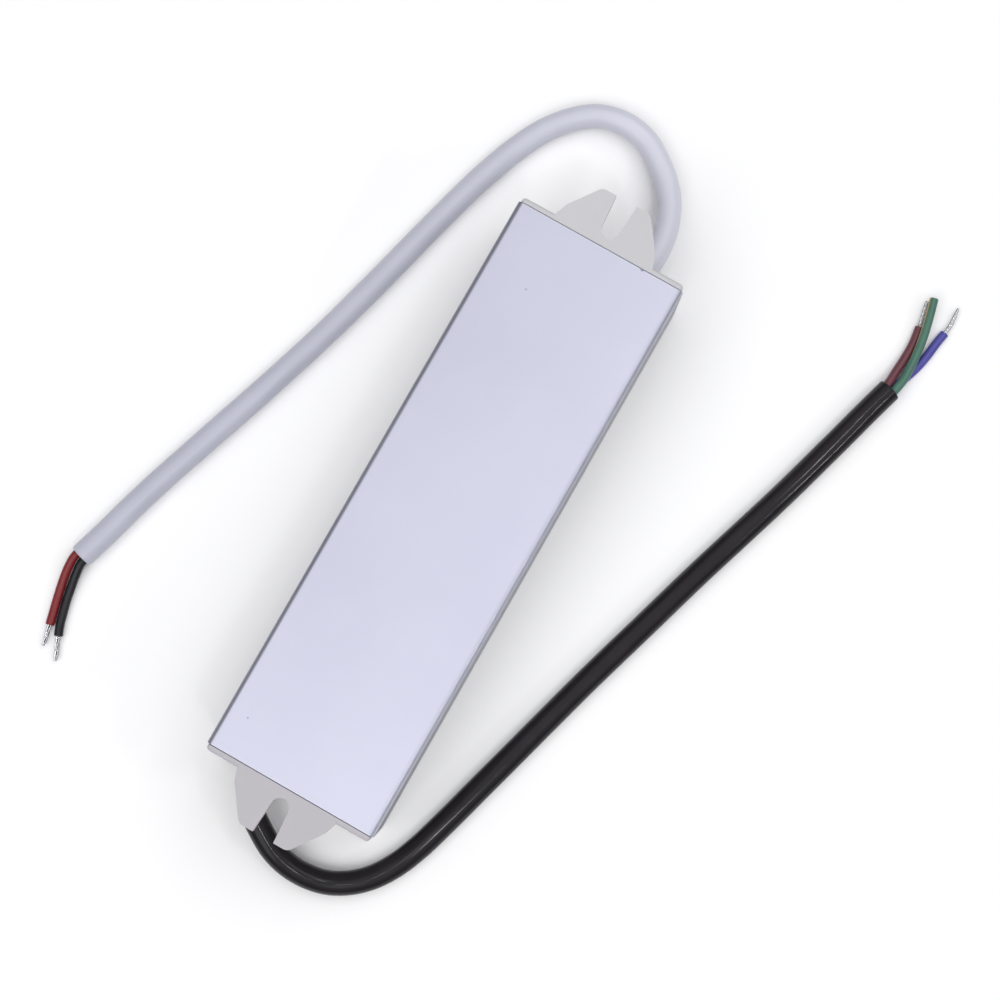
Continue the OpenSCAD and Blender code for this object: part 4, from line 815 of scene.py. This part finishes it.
# Leads: the cores of both cables, from the jackets' ends to the board. Each ends in a bare tinned
# tip that is soldered into its hole. The earth lead is green with a yellow stripe.
TIP_START = 21.7
earth_green = (0.06, 0.16, 0.11)
earth_insulation = insulation("earth_lead_pvc", earth_green, earth_green)
earth_insulation.over(
    earth_insulation.band(earth_insulation.along("Y"), 10.2, 0.35, 0.4), (0.55, 0.42, 0.05)
)
for lead, skin in (
    ("positive_lead", red_insulation), ("negative_lead", black_insulation),
    ("live_lead", brown_insulation), ("neutral_lead", blue_insulation),
    ("earth_lead", earth_insulation),
):
    skin.bare(skin.past(skin.along("Z"), TIP_START, blur=0.1))
    skin.on(nodes[lead])

# Potting compound: black two-part resin, poured in round the board with the case standing on end
# and left to set. It keeps water out and carries the heat to the case. Some fine bubbles stay in.
resin = Finish("black_potting_resin")
swirl = resin.noise(0.15, 4)
resin.colour(swirl, (0.012, 0.012, 0.014), (0.032, 0.031, 0.033))
resin.gloss(swirl, 0.12, 0.34)
bubbles = resin.node("ShaderNodeTexVoronoi", {"Vector": resin.place(), "Scale": 0.55})
resin.bump(resin.spread(bubbles.outputs["Distance"], 0.05, 0.2, 0, 1), 0.12)
resin.bump(swirl, 0.15)
resin.on(nodes["potting_compound"])

# Insulation sheet: thin cream fish paper between the solder side and the case, cut to size with a
# knife. Its fibres run along it.
fish_paper = Finish("fish_paper")
fibres = fish_paper.noise(2.2, 4, 0.65, stretch=(0.12, 1, 1))
fish_paper.colour(fibres, (0.52, 0.45, 0.27), (0.70, 0.64, 0.46))
fish_paper.gloss(fibres, 0.6, 0.82)
fish_paper.bump(fibres, 0.03)
fish_paper.on(nodes["insulation_sheet"])

# Circuit board: a woven glass laminate, 1.6 mm thick. The copper runs are etched on the solder side
# and lie under a clear lacquer.
BOARD_TOP = 24.7
laminate = Finish("board_laminate")
weave = laminate.woven(("X", 11), ("Y", 13))
laminate.colour(laminate.spread(weave, -1, 1, 0, 1), (0.30, 0.20, 0.075), (0.46, 0.34, 0.16))
laminate.over(laminate.spread(laminate.noise(0.11), 0.35, 0.75, 0, 0.5), (0.22, 0.14, 0.05))
cells = laminate.node("ShaderNodeTexVoronoi", {
    "Vector": laminate.place((1, 1, 0)), "Scale": 0.13, "Randomness": 0.8,
}, feature="DISTANCE_TO_EDGE").outputs["Distance"]
runs = laminate.reckon(
    "MULTIPLY", laminate.spread(cells, 0.055, 0.065, 0, 1),
    laminate.past(laminate.along("Z"), BOARD_TOP - 0.05),
)
laminate.over(runs, (0.44, 0.24, 0.09))
laminate.link(laminate.spread(runs, 0, 1, 0.45, 0.22), "Roughness")
laminate.bump(weave, 0.015)
laminate.bump(runs, 0.035)
laminate.on(nodes["circuit_board"])

# Solder joints: a bright cone of tin solder round each pin, drawn up when the board went over the
# solder bath. A little flux is left at its foot.
solder = Finish("tin_solder", metallic=1.0)
frost = solder.noise(2.6)
solder.colour(frost, (0.52, 0.52, 0.54), (0.80, 0.80, 0.82))
solder.gloss(frost, 0.12, 0.4)
solder.bump(frost, 0.05)
solder.on(nodes["solder_joints"])

# Fuse: a fine wire in a ceramic tube, with a nickel-plated cap pressed on each end. It lies on the
# board, held by its bent leads.
PIN_START = 22.65
FUSE_CAP = 2.9


def middle_of(node):
    """The middle of a part on the board, seen from above."""
    low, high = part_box(node)
    return ((low[0] + high[0]) / 2, (low[1] + high[1]) / 2, 0)


ceramic = Finish("fuse_ceramic")
fired = ceramic.noise(0.9, 4)
ceramic.colour(fired, (0.60, 0.55, 0.43), (0.76, 0.72, 0.62))
ceramic.gloss(fired, 0.42, 0.62)
ceramic.bump(ceramic.noise(5), 0.02)
ceramic.bump(ceramic.beyond("Y", FUSE_CAP, middle_of("fuse"), blur=0.1), 0.12)
ceramic.bare(ceramic.beyond("Y", FUSE_CAP, middle_of("fuse")), (0.66, 0.63, 0.57), 0.25)
ceramic.on(nodes["fuse"])


# Varistor, thermistor and safety capacitor: ceramic discs dipped in epoxy, which runs down a little
# along the tinned legs as it drips off
def dipped_epoxy(name, dark, light, node):
    dip = Finish(name)
    runs_down = dip.noise(0.6, stretch=(1, 1, 0.4))
    dip.colour(runs_down, dark, light)
    dip.gloss(runs_down, 0.16, 0.36)
    dip.bump(runs_down, 0.12)
    dip.bump(dip.noise(5, 2), 0.015)
    drip = dip.reckon("ADD", dip.along("Z"), dip.spread(runs_down, 0.3, 0.7, -0.4, 0.25))
    dip.bare(dip.past(drip, PIN_START))
    dip.on(nodes[node])


dipped_epoxy("varistor_epoxy", (0.02, 0.08, 0.30), (0.05, 0.14, 0.44), "varistor")
dipped_epoxy("thermistor_epoxy", (0.018, 0.045, 0.028), (0.04, 0.075, 0.05), "thermistor")
dipped_epoxy("safety_capacitor_epoxy", (0.03, 0.13, 0.34), (0.07, 0.21, 0.46), "safety_capacitor")


# Line filter capacitor: a yellow moulded box, filled with resin on the side of its pins. Where a
# moulded part has pins, they are tinned steel.
def moulded_shell(name, dark, light, node, pins_from=PIN_START):
    shell = Finish(name)
    flow = shell.noise(0.3)
    shell.colour(flow, dark, light)
    shell.gloss(flow, 0.3, 0.52)
    shell.bump(shell.noise(6), 0.03)
    shell.bare(shell.past(shell.along("Z"), pins_from))
    shell.on(nodes[node])


moulded_shell(
    "filter_capacitor_shell", (0.62, 0.40, 0.025), (0.80, 0.56, 0.05), "line_filter_capacitor"
)


# Line choke: a closed ferrite core with a bobbin clipped on each leg, each wound with enamelled
# copper wire. Its black feet stand on the board.
def ferrite(name, *chosen):
    fired_black = Finish(name)
    speckle = fired_black.noise(3.2, 5, 0.7)
    fired_black.colour(speckle, (0.022, 0.022, 0.025), (0.095, 0.095, 0.10))
    fired_black.gloss(fired_black.noise(0.35), 0.38, 0.7)
    fired_black.bump(speckle, 0.03)
    fired_black.bare(fired_black.past(fired_black.along("Z"), PIN_START))
    fired_black.on(*[nodes[node] for node in chosen])


def wound_copper(name, wire, node):
    """Turns of enamelled wire of this many millimetres, one above the other."""
    enamel = Finish(name, metallic=0.75)
    turns = enamel.reckon("ABSOLUTE", enamel.reckon(
        "SINE", enamel.reckon("MULTIPLY", enamel.along("Z"), math.pi / wire)
    ))
    uneven = enamel.noise(0.8, stretch=(0.3, 0.3, 1))
    enamel.colour(uneven, (0.42, 0.14, 0.035), (0.62, 0.26, 0.09))
    # Painted shade: the grooves between the turns are darkened
    enamel.over(enamel.spread(turns, 0.1, 0.6, 1, 0), (0.10, 0.03, 0.01))
    enamel.gloss(uneven, 0.2, 0.38)
    enamel.bump(turns, 0.4 * wire)
    enamel.on(nodes[node])


ferrite("line_choke_ferrite", "line_choke_core")
moulded_shell(
    "line_choke_bobbin_plastic", (0.02, 0.02, 0.022), (0.05, 0.05, 0.052), "line_choke_bobbins"
)
wound_copper("line_choke_wire", 0.42, "line_choke_windings")

# Bridge rectifier: four diodes moulded in one flat black epoxy block. It stands on four tinned legs
# that are soldered into the board.
moulded_shell(
    "bridge_epoxy", (0.018, 0.018, 0.02), (0.042, 0.042, 0.045), "bridge_rectifier", pins_from=21.1
)


# Electrolytic capacitors: an aluminium can in a shrunk plastic sleeve that leaves the scored top
# bare. A pale stripe down the sleeve marks the minus leg.
def sleeved_can(name, node, dark, light, stripe_colour):
    """A can, or two cans side by side, each with its stripe on the same side."""
    low, high = [[1000 * c for c in corner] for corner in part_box(node)]
    radius, top = (high[0] - low[0]) / 2, low[2]
    half_pitch = (high[1] - low[1]) / 2 - radius
    sleeve = Finish(name)
    across, side = sleeve.along("X", middle_of(node)), sleeve.along("Y", middle_of(node))
    if half_pitch > 0.1:
        side = sleeve.reckon("SUBTRACT", sleeve.reckon("ABSOLUTE", side), half_pitch)
    out = sleeve.reckon("SQRT", sleeve.reckon(
        "ADD", sleeve.reckon("MULTIPLY", across, across), sleeve.reckon("MULTIPLY", side, side)
    ))
    sheen = sleeve.noise(0.5, 2, stretch=(1, 1, 0.3))
    minus = sleeve.reckon(
        "MULTIPLY", sleeve.band(side, 0, 0.3 * radius, 0.3 * radius + 0.1),
        sleeve.spread(across, 0, 0.1, 0, 1),
    )
    sleeve.colour(sheen, dark, light)
    sleeve.over(minus, stripe_colour)
    sleeve.gloss(sheen, 0.16, 0.32)
    sleeve.bump(sheen, 0.06)
    disc = sleeve.reckon(
        "MULTIPLY", sleeve.spread(out, 0.84 * radius, 0.86 * radius, 1, 0),
        sleeve.spread(sleeve.along("Z"), top + 0.3, top + 0.4, 1, 0),
    )
    sleeve.bump(disc, -0.2)
    from_score = sleeve.reckon(
        "MINIMUM", sleeve.reckon("ABSOLUTE", across), sleeve.reckon("ABSOLUTE", side)
    )
    scored = sleeve.reckon("MULTIPLY", disc, sleeve.spread(from_score, 0.05, 0.16, 1, 0))
    sleeve.bump(scored, -0.15)
    sleeve.bare(disc, (0.70, 0.70, 0.72), 0.32)
    pins = sleeve.past(sleeve.along("Z"), PIN_START)
    sleeve.bare(sleeve.reckon("MAXIMUM", disc, pins), (0.68, 0.68, 0.70), 0.3)
    sleeve.on(nodes[node])


sleeved_can(
    "bulk_capacitor_sleeve", "bulk_capacitor",
    (0.008, 0.012, 0.06), (0.018, 0.026, 0.11), (0.42, 0.44, 0.50),
)
for name, node in (
    ("auxiliary_capacitor_sleeve", "auxiliary_capacitor"),
    ("output_capacitor_sleeve", "output_capacitors"),
):
    sleeved_can(name, node, (0.012, 0.06, 0.035), (0.025, 0.10, 0.06), (0.45, 0.40, 0.18))

# Start-up resistors and snubber diode: small round bodies that lie on the board on their bent
# leads. The resistors have painted value rings, the diode one silver ring at its cathode.
BODY_END = 3.25


def lying_body(name, node, dark, light, rings):
    body = Finish(name)
    glaze = body.noise(1.2)
    body.colour(glaze, dark, light)
    for at, colour in rings:
        body.over(body.band(body.along("X", middle_of(node)), at, 0.25, 0.3), colour)
    body.gloss(glaze, 0.28, 0.48)
    body.bump(glaze, 0.04)
    body.bare(body.beyond("X", BODY_END, middle_of(node)))
    body.on(nodes[node])


lying_body("resistor_lacquer", "startup_resistors", (0.55, 0.46, 0.30), (0.70, 0.61, 0.43), (
    (-2.3, (0.16, 0.05, 0.02)), (-1.2, (0.01, 0.01, 0.012)), (-0.1, (0.60, 0.42, 0.02)),
    (2.2, (0.42, 0.28, 0.07)),
))
lying_body("diode_epoxy", "snubber_diode", (0.015, 0.015, 0.017), (0.035, 0.035, 0.038), (
    (2.3, (0.55, 0.55, 0.57)),
))

# Switching transistor and output rectifier: a black epoxy block moulded on a tinned copper tab, on
# three flat legs. The tab's back lies on the thermal pad.
TAB_END, LEG_START, TAB_BACK = 11.6, 20.65, 16.65
for node in ("switching_transistor", "output_rectifier"):
    block = Finish(node + "_epoxy")
    grains = block.noise(4.5, 4, 0.65)
    block.colour(grains, (0.015, 0.015, 0.017), (0.045, 0.045, 0.048))
    block.gloss(grains, 0.42, 0.6)
    block.bump(grains, 0.02)
    height = block.along("Z")
    ends = block.reckon(
        "MAXIMUM", block.spread(height, TAB_END - 0.05, TAB_END, 1, 0),
        block.past(height, LEG_START),
    )
    tab = block.reckon("MAXIMUM", ends, block.beyond("Y", TAB_BACK))
    block.bare(tab, (0.66, 0.65, 0.64), 0.34)
    block.on(nodes[node])

# Heat spreaders: strips sawn from bare aluminium bar, between the two power parts and the case
# wall. They carry the heat to the case.
spreader = Finish("spreader_aluminium", metallic=1.0)
rolled = spreader.noise(3.5, 4, 0.6, stretch=(0.05, 1, 1))
spreader.colour(rolled, (0.60, 0.60, 0.62), (0.78, 0.78, 0.80))
spreader.gloss(rolled, 0.26, 0.46)
spreader.bump(rolled, 0.02)
spreader.on(nodes["primary_heat_spreader"], nodes["secondary_heat_spreader"])

# Thermal pads: soft grey-blue silicone on a glass cloth, cut from a sheet. They are pressed between
# tab and spreader and keep the voltage off it.
silicone = Finish("silicone_pad")
cloth = silicone.woven(("X", 16), ("Z", 16))
press = silicone.noise(0.4)
silicone.colour(press, (0.28, 0.34, 0.40), (0.42, 0.49, 0.55))
silicone.gloss(press, 0.55, 0.75)
silicone.bump(cloth, 0.015)
silicone.on(nodes["primary_thermal_pad"], nodes["secondary_thermal_pad"])

# Clamp screws: zinc-plated steel, headed and rolled. Each goes through the tab of a power part and
# presses it and its pad on the spreader.
zinc = Finish("zinc_plated_steel", metallic=1.0)
patch = zinc.noise(1.4, 4)
zinc.colour(patch, (0.46, 0.47, 0.50), (0.70, 0.69, 0.66))
zinc.gloss(patch, 0.2, 0.42)
zinc.bump(patch, 0.02)
zinc.on(nodes["clamp_screws"])

# Control chip and optocoupler: a black and a white epoxy package, each moulded round its frame.
# Both stand on two rows of tinned legs that are soldered into the board.
PACKAGE_SIDE = 3.25


def moulded_chip(name, node, dark, light):
    package = Finish(name)
    grains = package.noise(5, 4, 0.65)
    package.colour(grains, dark, light)
    package.gloss(grains, 0.45, 0.65)
    package.bump(grains, 0.015)
    package.bare(package.beyond("X", PACKAGE_SIDE, middle_of(node)))
    package.on(nodes[node])


moulded_chip("control_chip_epoxy", "control_chip", (0.014, 0.014, 0.016), (0.04, 0.04, 0.043))
moulded_chip("optocoupler_epoxy", "optocoupler", (0.62, 0.62, 0.59), (0.76, 0.76, 0.73))

# Transformer: two ferrite halves closed round a black bobbin. The windings lie under a wrap of
# yellow polyester tape, whose laps show as fine edges.
ferrite("transformer_ferrite", "transformer_core_lower", "transformer_core_upper")
moulded_shell(
    "transformer_bobbin_plastic", (0.018, 0.018, 0.02), (0.045, 0.045, 0.048), "transformer_bobbin"
)
tape = Finish("polyester_tape")
crease = tape.noise(0.7, stretch=(1, 1, 0.5))
lap = tape.reckon("FRACT", tape.reckon("MULTIPLY", tape.along("Z"), 0.42))
tape.colour(crease, (0.66, 0.47, 0.04), (0.80, 0.63, 0.10))
tape.over(tape.spread(lap, 0.02, 0.06, 1, 0), (0.40, 0.27, 0.02))
tape.gloss(crease, 0.16, 0.34)
tape.bump(crease, 0.12)
tape.bump(lap, 0.05)
tape.on(nodes["transformer_winding"])

# Output choke: a spool-shaped ferrite core, wound by machine with thicker enamelled copper wire. It
# stands on two tinned pins.
ferrite("output_choke_ferrite", "output_choke_core")
wound_copper("output_choke_wire", 0.6, "output_choke_winding")

# Floor and light: a plain pale sheet on a table, under a white ceiling that darkens towards the
# walls. Two wide soft lamps hang beyond the case's ends, and four narrow ones draw the thin lines
# on the black cable. Each lamp has its place, its size and its watts, and faces the case.
LAMPS = (
    ((-0.85, 0.25, 1.15), (1.2, 1.0), 6.2), ((0.85, -0.25, 1.15), (1.2, 1.0), 4.3),
    ((0.26, -0.13, 1.18), (0.18, 0.02), 0.45), ((0.006, -0.97, 0.8), (0.15, 0.03), 0.9),
    ((-0.3, -0.44, 1.15), (0.05, 0.16), 0.9), ((-0.21, -0.05, 1.17), (0.03, 0.1), 0.15),
)
bpy.ops.object.select_all(action="DESELECT")
bpy.ops.mesh.primitive_plane_add(size=40, location=(0, 0, -0.00002))
floor = bpy.context.object
floor.name = "floor"
paper = Finish("pale_floor", specular=0.1)
paper.surface.inputs["Base Color"].default_value = (0.93, 0.93, 0.93, 1)
paper.surface.inputs["Roughness"].default_value = 0.9
paper.on(floor)
room = bpy.data.worlds.new("pale_room")
bpy.context.scene.world = room
room.use_nodes = True
sky = room.node_tree
direction = sky.nodes.new("ShaderNodeTexCoord")
upward = sky.nodes.new("ShaderNodeSeparateXYZ")
ceiling = sky.nodes.new("ShaderNodeValToRGB")
sky.links.new(direction.outputs["Generated"], upward.inputs[0])
sky.links.new(upward.outputs["Z"], ceiling.inputs[0])
sky.links.new(ceiling.outputs[0], sky.nodes["Background"].inputs["Color"])
sky.nodes["Background"].inputs["Strength"].default_value = 1.11
greys = ceiling.color_ramp.elements
greys[0].color = (0.05, 0.05, 0.055, 1)
greys[1].color = (0.98, 0.98, 1.0, 1)
for up, grey in ((0.35, 0.11), (0.6, 0.35), (0.8, 0.86)):
    greys.new(up).color = (grey, grey, grey * 1.02, 1)
for place, size, watts in LAMPS:
    bpy.ops.object.light_add(type="AREA", location=place)
    lamp = bpy.context.object
    lamp.data.shape = "RECTANGLE"
    lamp.data.size, lamp.data.size_y = size
    lamp.data.energy = watts
    lamp.rotation_euler = (-lamp.location).to_track_quat("-Z", "Y").to_euler()
